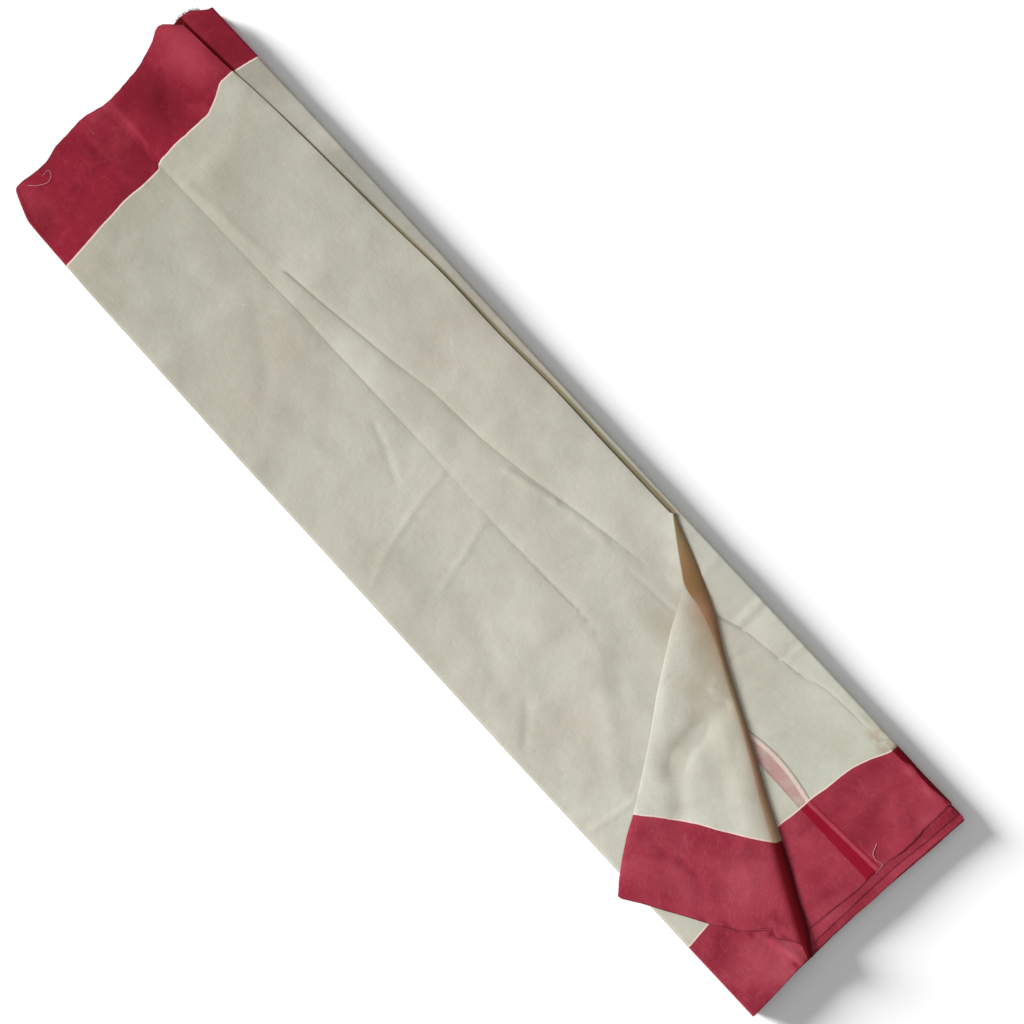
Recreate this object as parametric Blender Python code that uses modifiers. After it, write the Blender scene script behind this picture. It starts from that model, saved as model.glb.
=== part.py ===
"""A cotton dhoti folded lengthwise into a flat bundle, with one corner of its top panel turned back.

X runs along the bundle from its head end to its foot end, Y across it, and Z up from the surface it
rests on. The origin is the bottom centre of the whole. Tables are in millimetres.
"""

import math
from collections import namedtuple

import bpy
import numpy as np
from mathutils import Vector
from mathutils.geometry import delaunay_2d_cdt

MM = 0.001

# The cloth.
CLOTH = 1.2  # wall of a panel that shows
SEAM = 0.3  # gap between pieces, side by side or one above the other
STACK_HEIGHT = 11.0  # the hidden panels together
LOOSENESS = 0.5  # extra air under the top panel
SIDE_ROLL = 3.2  # radius of a panel where it turns down over a long side
UNDER_INSET = 4.5  # from the left side to the under panel's edge inside the top panel's roll
LEAST_SPACING = 0.6  # between any two points of a panel

# The hidden panels.
LAYER_STEPS = 3  # rings up each layer's rounded edge
LAYER_BULGE = 0.9  # how far a layer's edge stands out between its neighbours
STACK_ROWS = {"head": 5, "field": 26, "foot": 5}
STACK_COLUMNS = 10
STACK_SPAN = (-139.0, 158.0)  # the Y that the stack's end lines are read between
LAYER_NOTCH = 0.03  # part of a layer's height taken by the step in from the layer below

Edge = namedtuple("Edge", "x y")
Layer = namedtuple("Layer", "head foot left right")
Fold = namedtuple("Fold", "along crest out height")
Cut = namedtuple("Cut", "along off")
Crease = namedtuple("Crease", "x0 y0 x1 y1 height half_width")
Wave = namedtuple("Wave", "height length_x length_y shift")
Net = namedtuple("Net", "field edge")

# Distance between points over a panel and along its edges and creases.
TOP_NET = Net(field=25.0, edge=17.0)
UNDER_NET = Net(field=38.0, edge=26.0)
ROLL_PARTS = (0.0, 0.35, 0.7)  # of the quarter turn, where a rolled side has lines of points

# Long sides, read from the head to the foot.
LEFT_SIDE = (
    Edge(-574.0, -123.0), Edge(-558.0, -130.0), Edge(-543.0, -137.0), Edge(-519.0, -138.5),
    Edge(-440.0, -140.8), Edge(-202.0, -143.3), Edge(218.0, -144.4), Edge(595.0, -142.3),
)
RIGHT_SIDE = (
    Edge(-590.0, 157.2), Edge(-430.0, 158.6), Edge(-200.0, 159.5), Edge(150.0, 160.6),
    Edge(430.0, 162.4), Edge(592.0, 161.3),
)

# The top panel's free edge, as far as the start of the turned-back corner.
FREE_SIDE = (
    Edge(-578.0, 122.3), Edge(-507.7, 127.4), Edge(-486.7, 129.7), Edge(-410.0, 134.9),
    Edge(-291.4, 140.2), Edge(-203.2, 145.6), Edge(-111.8, 146.6), Edge(-33.1, 149.9),
    Edge(46.7, 150.2), Edge(146.0, 151.7),
)

# Selvedges and woven colour lines, read across from the left side to the right.
TOP_HEAD_EDGE = (
    Edge(-569.6, -123.4), Edge(-570.7, -110.8), Edge(-569.6, -80.3), Edge(-573.8, -63.5),
    Edge(-575.9, -39.4), Edge(-577.0, -22.6), Edge(-573.8, -5.8), Edge(-571.7, 13.1),
    Edge(-572.8, 29.9), Edge(-577.0, 57.2), Edge(-586.4, 85.6), Edge(-594.8, 103.4),
    Edge(-578.0, 122.3),
)
TOP_HEAD_LINE = (
    Edge(-474.1, -140.2), Edge(-476.2, -115.0), Edge(-478.8, -92.9), Edge(-481.4, -69.8),
    Edge(-483.5, -48.8), Edge(-482.5, -23.6), Edge(-483.5, 1.6), Edge(-487.7, 4.6),
    Edge(-490.9, 26.8), Edge(-490.9, 54.1), Edge(-490.4, 76.1), Edge(-494.0, 86.6),
    Edge(-499.3, 97.1), Edge(-507.7, 109.7), Edge(-507.7, 127.4),
)
TOP_FOOT_LINE = (Edge(495.1, -143.3), Edge(486.0, -75.0), Edge(476.7, 0.0))
TOP_FOOT_EDGE = (Edge(594.8, -142.3), Edge(592.0, -100.0), Edge(588.0, -54.0))
UNDER_HEAD_EDGE = (
    Edge(-562.0, -139.0), Edge(-565.0, 0.0), Edge(-580.0, 100.0), Edge(-585.9, 122.3),
    Edge(-583.3, 138.1), Edge(-572.8, 152.8), Edge(-570.7, 157.0),
)
UNDER_HEAD_LINE = (
    Edge(-485.0, -139.0), Edge(-506.6, 128.0), Edge(-500.6, 151.0), Edge(-500.4, 158.0),
)
UNDER_FOOT_LINE = (
    Edge(484.0, -139.0), Edge(467.2, 11.0), Edge(475.1, 46.7), Edge(474.1, 71.9),
    Edge(473.0, 106.6), Edge(482.5, 132.8), Edge(487.0, 153.0), Edge(487.2, 162.2),
)
UNDER_FOOT_EDGE = (
    Edge(574.0, -139.0), Edge(568.7, 0.0), Edge(570.6, 48.8), Edge(573.5, 100.0), Edge(571.0, 161.0),
)
STACK_HEAD_EDGE = (Edge(-563.0, -139.0), Edge(-565.0, 0.0), Edge(-575.0, 80.0), Edge(-567.0, 158.0))
STACK_HEAD_LINE = (Edge(-474.0, -139.0), Edge(-484.0, 0.0), Edge(-500.0, 158.0))
STACK_FOOT_LINE = (Edge(495.0, -139.0), Edge(486.0, 158.0))
STACK_FOOT_EDGE = (
    Edge(592.5, -143.0), Edge(590.5, -60.0), Edge(590.0, 0.0), Edge(591.5, 80.0), Edge(592.5, 161.0),
)

# The hidden panels from the bottom up: how far each layer's edge sits in from the outline.
STACK_LAYERS = (
    Layer(head=1.0, foot=1.2, left=1.4, right=0.6),
    Layer(head=3.5, foot=0.0, left=0.2, right=1.6),
    Layer(head=0.5, foot=2.6, left=1.2, right=0.2),
    Layer(head=4.5, foot=1.0, left=0.3, right=1.2),
    Layer(head=2.0, foot=9.5, left=2.9, right=2.9),
)

# The turned-back corner. Its fold runs from the free side to the foot edge. Each row gives, at a
# distance along the fold, how far outside the line its crest and its outermost point lie, and how
# high the loose fold stands over the panel.
FOLD_START = (148.6, 154.9)
FOLD_END = (587.5, -53.0)
FOLD_SECTIONS = (
    Fold(0.0, -1.5, 0.5, 2.3), Fold(27.0, -5.0, 4.6, 2.8), Fold(58.0, -9.0, 7.4, 3.6),
    Fold(76.0, -10.5, 9.3, 4.4), Fold(97.0, -5.6, 10.5, 5.4), Fold(118.0, -1.6, 10.0, 5.8),
    Fold(135.0, 0.5, 7.8, 5.6), Fold(158.0, 0.6, 5.8, 5.2), Fold(180.0, -0.6, 4.8, 4.9),
    Fold(215.0, -2.0, 2.9, 4.6), Fold(275.0, -2.6, 1.7, 4.4), Fold(350.0, -2.2, 2.6, 4.3),
    Fold(393.0, -4.4, 0.3, 4.2), Fold(435.0, -5.0, -0.6, 4.1), Fold(486.0, -4.2, 0.0, 3.9),
)
FOLD_LINES = 8  # bands of cloth round the loose fold
FLAP_REST = 2.1  # height of the corner's middle over the panel's middle where it lies
FLAP_SETTLE = 13.0  # distance over which it comes down
FLAP_GUIDES = (7.0, 16.0)  # lines of points beyond the fold
FLAP_DROOP = 0.006  # fall per square millimetre beyond the bundle's side

# The corner's cut edge, its colour line and its selvedge, by distance along the fold and off it.
CORNER_FREE_SIDE = (
    Cut(0.0, -2.2), Cut(27.5, -6.8), Cut(58.5, -10.9), Cut(76.3, -14.2), Cut(86.0, -19.7),
    Cut(100.8, -28.9), Cut(116.6, -40.1), Cut(143.4, -55.2), Cut(180.2, -76.2),
    Cut(216.4, -93.9), Cut(252.6, -113.9), Cut(289.2, -135.0),
)
CORNER_BORDER_SIDE = (Cut(289.2, -135.0), Cut(312.8, -152.8), Cut(344.5, -167.0), Cut(368.4, -176.5))
CORNER_LINE = (
    Cut(362.0, -3.5), Cut(349.2, -23.0), Cut(332.1, -49.6), Cut(309.0, -92.0), Cut(289.2, -135.0),
)
CORNER_SELVEDGE = (
    Cut(368.4, -176.5), Cut(386.6, -146.8), Cut(402.3, -120.9), Cut(423.6, -91.2),
    Cut(433.8, -69.2), Cut(444.5, -57.0), Cut(452.0, -31.0), Cut(469.2, -13.0), Cut(486.0, -6.0),
)

# Creases that stand up from the top panel, or sink into it.
TOP_CREASES = (
    Crease(-557.0, 1.6, -486.7, 3.7, 0.5, 5.0),
    Crease(-486.7, 3.7, -53.0, 8.9, 0.9, 7.0),
    Crease(-53.0, 8.9, 159.1, 11.0, 0.7, 7.0),
    Crease(-313.4, 25.7, -168.5, 44.6, 0.8, 6.0),
    Crease(-168.5, 44.6, -43.6, 58.3, 1.1, 6.0),
    Crease(-43.6, 58.3, 66.7, 77.2, 1.0, 6.0),
    Crease(66.7, 77.2, 149.6, 91.9, 0.8, 6.0),
    Crease(-44.6, 3.7, -29.9, -110.8, 0.5, 6.0),
    Crease(-131.8, -14.2, -73.0, -37.3, 0.5, 6.0),
    Crease(336.5, -131.8, 341.8, -77.2, 0.4, 6.0),
)
UNDER_CREASES = (
    Crease(276.0, 122.0, 319.7, 129.7, 0.7, 5.0),
    Crease(319.7, 129.7, 358.6, 136.0, 0.8, 5.0),
    Crease(358.6, 136.0, 393.2, 146.5, 0.7, 5.0),
)

# Long waves left by the folding.
SWELLS = (Wave(0.35, 640.0, 380.0, 0.6), Wave(0.2, 290.0, 210.0, 2.1))

# Colours. The borders at the foot are paler than those at the head.
CREAM = "BDBBAC"
CRIMSON_HEAD = "902938"
CRIMSON_FOOT = "A33B4A"


def at(table, y):
    """The X of a table of edge points at each Y, straight between its rows."""
    return np.interp(y, [row.y for row in table], [row.x for row in table])


def side(table, x):
    """The Y of a long side's table at each X."""
    return np.interp(x, [row.x for row in table], [row.y for row in table])


def swell(x, y):
    """The sum of the long waves: height * sin(x turns + shift) * cos(y turns)."""
    total = 0.0
    for wave in SWELLS:
        total = total + wave.height * np.sin(2 * math.pi * x / wave.length_x + wave.shift) * np.cos(
            2 * math.pi * y / wave.length_y
        )
    return total


def creased(creases, x, y):
    """The sum of the creases, each a ridge that falls off with the distance to its line."""
    total = np.zeros(np.shape(x))
    for crease in creases:
        run = np.array([crease.x1 - crease.x0, crease.y1 - crease.y0])
        length = np.hypot(*run)
        along = ((x - crease.x0) * run[0] + (y - crease.y0) * run[1]) / length
        across = ((y - crease.y0) * run[0] - (x - crease.x0) * run[1]) / length
        past = np.maximum(0.0, np.maximum(-along, along - length))
        reach = np.hypot(across, past) / crease.half_width
        total = np.maximum(total, crease.height * np.maximum(0.0, 1.0 - reach))
    return total


def stack_top(x, y):
    return STACK_HEIGHT + swell(x, y)


def under_middle(x, y):
    """Height of the middle of the under panel's wall."""
    return stack_top(x, y) + SEAM + CLOTH / 2 + creased(UNDER_CREASES, x, y)


def top_middle(x, y):
    """Height of the middle of the top panel's wall: over the under panel, with its creases."""
    return under_middle(x, y) + CLOTH + SEAM + LOOSENESS + creased(TOP_CREASES, x, y)


def roll_down(y, z, silhouette, outward):
    """Turns a panel down over a long side: past one radius inside the silhouette it follows a quarter turn."""
    edge = silhouette - outward * (SIDE_ROLL + CLOTH / 2)
    past = np.clip((y - edge) * outward, 0.0, None)
    turn = np.minimum(past / SIDE_ROLL, math.pi / 2)
    rolled = past > 0
    return (
        np.where(rolled, edge + outward * SIDE_ROLL * np.sin(turn), y),
        np.where(rolled, z - SIDE_ROLL * (1 - np.cos(turn)), z),
    )


def rolled_side(table, x, outward, part=1.0):
    """Where a side's line lies in the unrolled panel, at a part of the quarter turn."""
    return side(table, x) - outward * (SIDE_ROLL + CLOTH / 2 - SIDE_ROLL * part * math.pi / 2)


class TurnedCorner:
    """The loose fold and what lies past it, in distances along the fold and off it."""

    start = np.array(FOLD_START)
    run = np.array(FOLD_END) - start
    length = float(np.hypot(*run))
    along = run / length
    off = np.array([-along[1], along[0]])

    def read(self, points):
        from_start = points - self.start
        return from_start @ self.along, from_start @ self.off

    def point(self, along, off):
        return self.start + np.multiply.outer(along, self.along) + np.multiply.outer(off, self.off)

    def section(self, along):
        rows = np.array(FOLD_SECTIONS)
        return [np.interp(along, rows[:, 0], rows[:, column]) for column in (1, 2, 3)]

    def bend(self, along):
        """Length of cloth round the half ellipse of a section."""
        crest, out, height = self.section(along)
        return math.pi * np.sqrt(((out - crest) ** 2 + (height / 2) ** 2) / 2)

    def around(self, along):
        """The flat line that goes round the fold at one distance along it."""
        along = np.full(FOLD_LINES + 1, along)
        crest = self.section(along)[0]
        return self.point(along, crest + self.bend(along) * np.arange(FOLD_LINES + 1) / FOLD_LINES)

    def unfolded(self, along, off):
        """Where a point of the corner lies in the flat cloth."""
        crest = self.section(along)[0]
        return self.point(along, 2 * crest + self.bend(along) - off)

    def fold(self, x, y, z):
        """Carries points past the crest's line round the half ellipse and back over the panel."""
        along, off = self.read(np.stack([x, y], -1))
        crest, out, height = self.section(along)
        bend = self.bend(along)
        past = off - crest
        turn = np.clip(past / bend, 0.0, 1.0) * math.pi
        beyond = np.maximum(past - bend, 0.0)
        folded = past > 0
        new_off = np.where(folded, crest + (out - crest) * np.sin(turn) - beyond, off)
        place = self.point(along, np.zeros_like(along)) + new_off[..., None] * self.off
        settle = beyond / FLAP_SETTLE
        stand = FLAP_REST + (height - FLAP_REST) * (1 + settle) * np.exp(-settle)
        over = np.maximum(side(LEFT_SIDE, place[..., 0]) - place[..., 1], 0.0)
        lift = np.where(beyond > 0, stand, height * (1 - np.cos(turn)) / 2)
        lifted = top_middle(place[..., 0], place[..., 1]) + lift - FLAP_DROOP * over**2
        return (
            np.where(folded, place[..., 0], x),
            np.where(folded, place[..., 1], y),
            np.where(folded, lifted, z),
        )


CORNER = TurnedCorner()


def place_top(x, y):
    """From the flat cloth to the folded top panel."""
    new_y, z = roll_down(y, top_middle(x, y), side(LEFT_SIDE, x), -1)
    return CORNER.fold(x, new_y, z)


def place_under(x, y):
    new_y, z = roll_down(y, under_middle(x, y), side(RIGHT_SIDE, x), 1)
    return x, new_y, z


def resampled(points, spacing):
    """The same line with its points kept and more put between them, none farther apart than the spacing."""
    line = [points[0]]
    for before, after in zip(points[:-1], points[1:]):
        steps = max(1, math.ceil(np.hypot(*(after - before)) / spacing))
        line += [before + (after - before) * step / steps for step in range(1, steps + 1)]
    return np.array(line)


def moved_aside(points, distance):
    """A line moved by a distance to its left."""
    ways = np.gradient(points, axis=0)
    ways /= np.hypot(ways[:, 0], ways[:, 1])[:, None]
    return points + distance * np.stack([-ways[:, 1], ways[:, 0]], -1)


def across(table, left, right, rolled=()):
    """A table's line cut to run from one Y to another, with its own rows between and those of a rolled side."""
    inner = [row.y for row in table if left + 2 < row.y < right - 2]
    inner = [y for y in inner if all(abs(y - other) > 2 for other in rolled)]
    ys = np.array(sorted([left, *inner, *rolled, right]))
    return np.stack([at(table, ys), ys], -1)


def inside(points, outline):
    """Whether each point lies within a closed outline, by counting crossings."""
    found = np.zeros(len(points), bool)
    for before, after in zip(outline, np.roll(outline, -1, axis=0)):
        if before[1] == after[1]:
            continue
        crosses = (before[1] > points[:, 1]) != (after[1] > points[:, 1])
        reach = (after[0] - before[0]) * (points[:, 1] - before[1]) / (after[1] - before[1]) + before[0]
        found ^= crosses & (points[:, 0] < reach)
    return found


def nearest(points, others):
    return np.min(np.hypot(*(points[:, None] - others[None]).transpose(2, 0, 1)), axis=1)


def flat_pattern(outline, guides, net):
    """Triangles over a flat outline, with edges along each guide line and a staggered field of points between."""
    edge = resampled(np.vstack([outline, outline[:1]]), net.edge)[:-1]
    points = edge
    joined = [(index, (index + 1) % len(edge)) for index in range(len(edge))]
    for guide in guides:
        line = resampled(guide, net.edge)
        kept = inside(line, outline) & (nearest(line, points) > LEAST_SPACING)
        number = len(points) - 1 + np.cumsum(kept)
        joined += [
            (int(number[index]), int(number[index + 1]))
            for index in range(len(line) - 1)
            if kept[index] and kept[index + 1]
        ]
        points = np.vstack([points, line[kept]])
    low, high = outline.min(0), outline.max(0)
    field = []
    for row, y in enumerate(np.arange(low[1], high[1], net.field * 0.87)):
        xs = np.arange(low[0] + (row % 2) * net.field / 2, high[0], net.field)
        field.append(np.stack([xs, np.full(len(xs), y)], -1))
    field = np.vstack(field)
    field = field[inside(field, outline)]
    field = field[nearest(field, points) > net.field * 0.5]
    points = np.vstack([points, field])
    flat, _, faces = delaunay_2d_cdt([Vector(point) for point in points], joined, [], 1, 1e-5)[:3]
    flat = np.array([tuple(point) for point in flat])
    middles = np.array([flat[list(face)].mean(0) for face in faces])
    kept = inside(middles, outline)
    return flat, [tuple(face) for face, keep in zip(faces, kept) if keep]


def colour(hex_code):
    """Linear red, green and blue of a screen colour."""
    parts = [int(hex_code[index : index + 2], 16) / 255 for index in (0, 2, 4)]
    return [part / 12.92 if part <= 0.04045 else ((part + 0.055) / 1.055) ** 2.4 for part in parts]


def cotton(name, hex_code):
    """Plain matt cotton of one colour."""
    material = bpy.data.materials.new(name)
    material.use_nodes = True
    shader = material.node_tree.nodes["Principled BSDF"]
    shader.inputs["Base Color"].default_value = (*colour(hex_code), 1.0)
    shader.inputs["Roughness"].default_value = 0.92
    shader.inputs["Metallic"].default_value = 0.0
    return material


def add_object(name, points, faces, hex_code, collection):
    mesh = bpy.data.meshes.new(name)
    mesh.from_pydata([tuple(point) for point in np.asarray(points) * MM], [], faces)
    mesh.update()
    mesh.materials.append(cotton(f"{name}_cotton", hex_code))
    made = bpy.data.objects.new(name, mesh)
    collection.objects.link(made)
    return made


def shade(made):
    bpy.context.view_layer.objects.active = made
    made.select_set(True)
    bpy.ops.object.shade_smooth()
    made.data.set_sharp_from_angle(angle=math.radians(40))
    made.select_set(False)


def cloth_panel(name, outline, guides, net, place, hex_code, collection):
    """A panel drawn flat, folded into place and given its wall."""
    flat, faces = flat_pattern(outline, guides, net)
    x, y, z = place(flat[:, 0], flat[:, 1])
    made = add_object(name, np.stack([x, y, z], -1), faces, hex_code, collection)
    wall = made.modifiers.new("Wall", "SOLIDIFY")
    wall.thickness = CLOTH * MM
    wall.offset = 0.0
    wall.use_rim = True
    shade(made)
    return made


def crease_lines(creases):
    """Each crease's line and the two lines beside it where it ends."""
    lines = []
    for crease in creases:
        line = np.array([[crease.x0, crease.y0], [crease.x1, crease.y1]])
        run = line[1] - line[0]
        aside = np.array([-run[1], run[0]]) / np.hypot(*run) * crease.half_width
        lines += [line, line + aside, line - aside]
    return lines


def stack_block(name, head, foot, ends, rows, hex_code, collection):
    """One rounded solid of the hidden panels between two lines, with layered edges where it ends.

    Each ring goes round the outline at one height. A layer's rings stand out in a half wave, and
    each layer sits in from the outline by its own row of the table.
    """
    grid_x = np.empty((rows + 1, STACK_COLUMNS + 1))
    grid_y = np.empty_like(grid_x)
    shares = np.linspace(0, 1, STACK_COLUMNS + 1)
    for row in range(rows + 1):
        y = STACK_SPAN[0] + shares * (STACK_SPAN[1] - STACK_SPAN[0])
        x = at(head, y) + (at(foot, y) - at(head, y)) * row / rows
        grid_x[row] = x
        grid_y[row] = side(LEFT_SIDE, x) * (1 - shares) + side(RIGHT_SIDE, x) * shares
    ring = (
        [(row, 0) for row in range(rows)]
        + [(rows, column) for column in range(STACK_COLUMNS)]
        + [(row, STACK_COLUMNS) for row in range(rows, 0, -1)]
        + [(0, column) for column in range(STACK_COLUMNS, 0, -1)]
    )

    def level(part, layer, bulge):
        """The whole grid at one height, its rim moved in."""
        inset = LAYER_BULGE * (1 - bulge)
        x, y = grid_x.copy(), grid_y.copy()
        if ends[0]:
            x[0] += layer.head + inset
        else:
            x[0] += SEAM / 2
        if ends[1]:
            x[-1] -= layer.foot + inset
        else:
            x[-1] -= SEAM / 2
        y[:, 0] += layer.left + inset
        y[:, -1] -= layer.right + inset
        return np.stack([x, y, stack_top(x, y) * part], -1)

    levels = []
    count = len(STACK_LAYERS)
    for index, layer in enumerate(STACK_LAYERS):
        for step in range(LAYER_STEPS + 1):
            share = step / LAYER_STEPS
            if index and not step:
                share = LAYER_NOTCH
            levels.append(level((index + share) / count, layer, math.sin(math.pi * share)))
    points = []
    rings = []
    for grid in levels:
        rings.append([len(points) + index for index in range(len(ring))])
        points += [grid[place] for place in ring]
    faces = []
    for lower, upper in zip(rings[:-1], rings[1:]):
        for index in range(len(ring)):
            after = (index + 1) % len(ring)
            faces.append((lower[index], lower[after], upper[after], upper[index]))
    for grid, rim, up in ((levels[0], rings[0], False), (levels[-1], rings[-1], True)):
        number = {place: rim[index] for index, place in enumerate(ring)}
        for row in range(1, rows):
            for column in range(1, STACK_COLUMNS):
                number[row, column] = len(points)
                points.append(grid[row, column])
        for row in range(rows):
            for column in range(STACK_COLUMNS):
                face = (
                    number[row, column],
                    number[row + 1, column],
                    number[row + 1, column + 1],
                    number[row, column + 1],
                )
                faces.append(face if up else face[::-1])
    made = add_object(name, points, faces, hex_code, collection)
    shade(made)
    return made


def build_stack(collection):
    stack_block("stack_head_border", STACK_HEAD_EDGE, STACK_HEAD_LINE, (True, False),
                STACK_ROWS["head"], CRIMSON_HEAD, collection)
    stack_block("stack_field", STACK_HEAD_LINE, STACK_FOOT_LINE, (False, False),
                STACK_ROWS["field"], CREAM, collection)
    stack_block("stack_foot_border", STACK_FOOT_LINE, STACK_FOOT_EDGE, (False, True),
                STACK_ROWS["foot"], CRIMSON_FOOT, collection)


def side_line(table, outward, part, first, last):
    """A long side's line in the flat cloth between two X, read from the first to the last."""
    xs = np.array([first, *[row.x for row in table if min(first, last) < row.x < max(first, last)], last])
    xs = np.sort(xs) if first < last else np.sort(xs)[::-1]
    return np.stack([xs, rolled_side(table, xs, outward, part)], -1)


def build_under(collection):
    """The panel below the top one, in its three woven parts."""
    guides = crease_lines(UNDER_CREASES)
    guides += [side_line(RIGHT_SIDE, 1, part, -600.0, 600.0) for part in ROLL_PARTS]
    lines = {}
    for key, table in (
        ("head_edge", UNDER_HEAD_EDGE), ("head_line", UNDER_HEAD_LINE),
        ("foot_line", UNDER_FOOT_LINE), ("foot_edge", UNDER_FOOT_EDGE),
    ):
        left = float(side(LEFT_SIDE, table[0].x)) + UNDER_INSET
        rolled = [float(rolled_side(RIGHT_SIDE, table[-1].x, 1, part)) for part in (*ROLL_PARTS, 1.0)]
        lines[key] = across(table, left, rolled[-1], rolled[:-1])
    for name, head, foot, head_seam, foot_seam, hex_code in (
        ("under_head_border", "head_edge", "head_line", 0, SEAM / 2, CRIMSON_HEAD),
        ("under_field", "head_line", "foot_line", SEAM / 2, SEAM / 2, CREAM),
        ("under_foot_border", "foot_line", "foot_edge", SEAM / 2, 0, CRIMSON_FOOT),
    ):
        start = lines[head] + [head_seam, 0]
        end = lines[foot] - [foot_seam, 0]
        right = side_line(RIGHT_SIDE, 1, 1.0, start[-1, 0], end[-1, 0])
        left_x = [end[0, 0], *[row.x for row in LEFT_SIDE[::-1] if start[0, 0] < row.x < end[0, 0]]]
        left = np.array([[x, float(side(LEFT_SIDE, x)) + UNDER_INSET] for x in left_x])
        outline = np.vstack([start, right[1:-1], end[::-1], left[1:]])
        cloth_panel(name, outline, guides, UNDER_NET, place_under, hex_code, collection)


def flat_corner(table):
    """A table of the turned-back corner, laid out in the flat cloth."""
    rows = np.array(table)
    return CORNER.unfolded(rows[:, 0], rows[:, 1])


def top_line(table, last):
    """A line across the top panel from its rolled left side to a Y."""
    rolled = [float(rolled_side(LEFT_SIDE, table[0].x, -1, part)) for part in (1.0, *ROLL_PARTS[::-1])]
    return across(table, rolled[0], last, rolled[1:])


def build_top(collection):
    """The top panel and its turned-back corner, in the three woven parts."""
    along = np.arange(0.0, CORNER.length, TOP_NET.edge)
    crest, bend = CORNER.section(along)[0], CORNER.bend(along)
    guides = [side_line(LEFT_SIDE, -1, part, -600.0, 600.0) for part in ROLL_PARTS]
    guides += [CORNER.point(along, crest + bend * band / FOLD_LINES) for band in range(FOLD_LINES + 1)]
    guides += [CORNER.point(along, crest + bend + beyond) for beyond in FLAP_GUIDES]
    beside = np.arange(370.0, 480.0, TOP_NET.edge)
    over_side = CORNER.read(np.stack([beside, side(LEFT_SIDE, beside)], -1))
    guides.append(CORNER.unfolded(*over_side))
    guides += crease_lines(TOP_CREASES)

    head_edge = top_line(TOP_HEAD_EDGE, FREE_SIDE[0].y)
    head_line = top_line(TOP_HEAD_LINE, FREE_SIDE[1].y)
    meets, leaves = CORNER_LINE[0].along, CORNER_SELVEDGE[-1].along
    foot_line = np.vstack([
        top_line(TOP_FOOT_LINE, TOP_FOOT_LINE[-1].y)[:-1], CORNER.around(meets), flat_corner(CORNER_LINE),
    ])
    foot_edge = np.vstack([
        top_line(TOP_FOOT_EDGE, TOP_FOOT_EDGE[-1].y)[:-1], CORNER.around(leaves),
        flat_corner(CORNER_SELVEDGE[::-1]),
    ])
    free_side = np.array([[row.x, row.y] for row in FREE_SIDE[2:]])
    seam = SEAM / 2
    corners = [line[0, 0] for line in (head_edge, head_line, foot_line, foot_edge)]
    left = [side_line(LEFT_SIDE, -1, 1.0, foot, head)[1:-1] for head, foot in zip(corners, corners[1:])]

    outline = np.vstack([head_edge, moved_aside(head_line, seam)[::-1], left[0]])
    cloth_panel("top_head_border", outline, guides, TOP_NET, place_top, CRIMSON_HEAD, collection)
    outline = np.vstack([
        moved_aside(head_line, -seam), free_side, CORNER.around(0.0), flat_corner(CORNER_FREE_SIDE)[:-1],
        moved_aside(foot_line, seam)[::-1], left[1],
    ])
    cloth_panel("top_field", outline, guides, TOP_NET, place_top, CREAM, collection)
    outline = np.vstack([
        moved_aside(foot_line, -seam), flat_corner(CORNER_BORDER_SIDE)[1:-1], foot_edge[::-1], left[2],
    ])
    cloth_panel("top_foot_border", outline, guides, TOP_NET, place_top, CRIMSON_FOOT, collection)


def build():
    for found in list(bpy.data.objects):
        bpy.data.objects.remove(found, do_unlink=True)
    collection = bpy.data.collections.new("dhoti")
    bpy.context.scene.collection.children.link(collection)
    build_stack(collection)
    build_under(collection)
    build_top(collection)


build()
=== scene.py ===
import math
from functools import partial

import bpy
import numpy as np
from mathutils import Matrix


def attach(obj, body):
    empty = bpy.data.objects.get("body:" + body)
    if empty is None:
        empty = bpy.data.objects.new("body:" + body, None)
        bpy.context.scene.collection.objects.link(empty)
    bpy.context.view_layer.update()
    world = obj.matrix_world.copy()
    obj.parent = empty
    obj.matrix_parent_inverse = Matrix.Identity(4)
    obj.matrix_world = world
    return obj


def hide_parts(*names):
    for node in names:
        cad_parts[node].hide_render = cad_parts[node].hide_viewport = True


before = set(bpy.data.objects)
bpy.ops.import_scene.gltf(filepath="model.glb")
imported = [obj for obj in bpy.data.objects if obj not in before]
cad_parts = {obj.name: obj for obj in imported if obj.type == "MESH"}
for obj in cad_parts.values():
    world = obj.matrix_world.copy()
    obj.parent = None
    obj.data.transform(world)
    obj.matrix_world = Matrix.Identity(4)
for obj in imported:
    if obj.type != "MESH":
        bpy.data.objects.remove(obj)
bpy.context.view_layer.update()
mm = 0.001


# Lengths are in millimetres in the part's own frame.

# Across the loom: head selvedge, head border's line, foot border's line, foot selvedge.
wovenLines = (0.0, 91.0, 1054.0, 1160.0)
# Long sides: along, across.
leftSide = (
    (-574.0, -123.0), (-558.0, -130.0), (-543.0, -137.0), (-519.0, -138.5), (-440.0, -140.8),
    (-202.0, -143.3), (218.0, -144.4), (595.0, -142.3),
)
rightSide = (
    (-590.0, 157.2), (-430.0, 158.6), (-200.0, 159.5), (150.0, 160.6), (430.0, 162.4), (530.0, 162.0),
    (572.0, 163.2), (593.0, 162.2),
)
stackHeadEdge = ((-139.0, -563.0), (0.0, -565.0), (80.0, -575.0), (130.0, -580.0), (158.0, -567.0))
# Long waves: height, length along, length across, shift.
swells = ((0.35, 640.0, 380.0, 0.6), (0.2, 290.0, 210.0, 2.1))
# Rumpling: height, spacing, turn in radians, seed.
rumples = ((0.85, 61.0, 0.5, 3), (0.5, 29.0, 1.1, 5), (0.12, 13.0, 0.2, 7))


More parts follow.
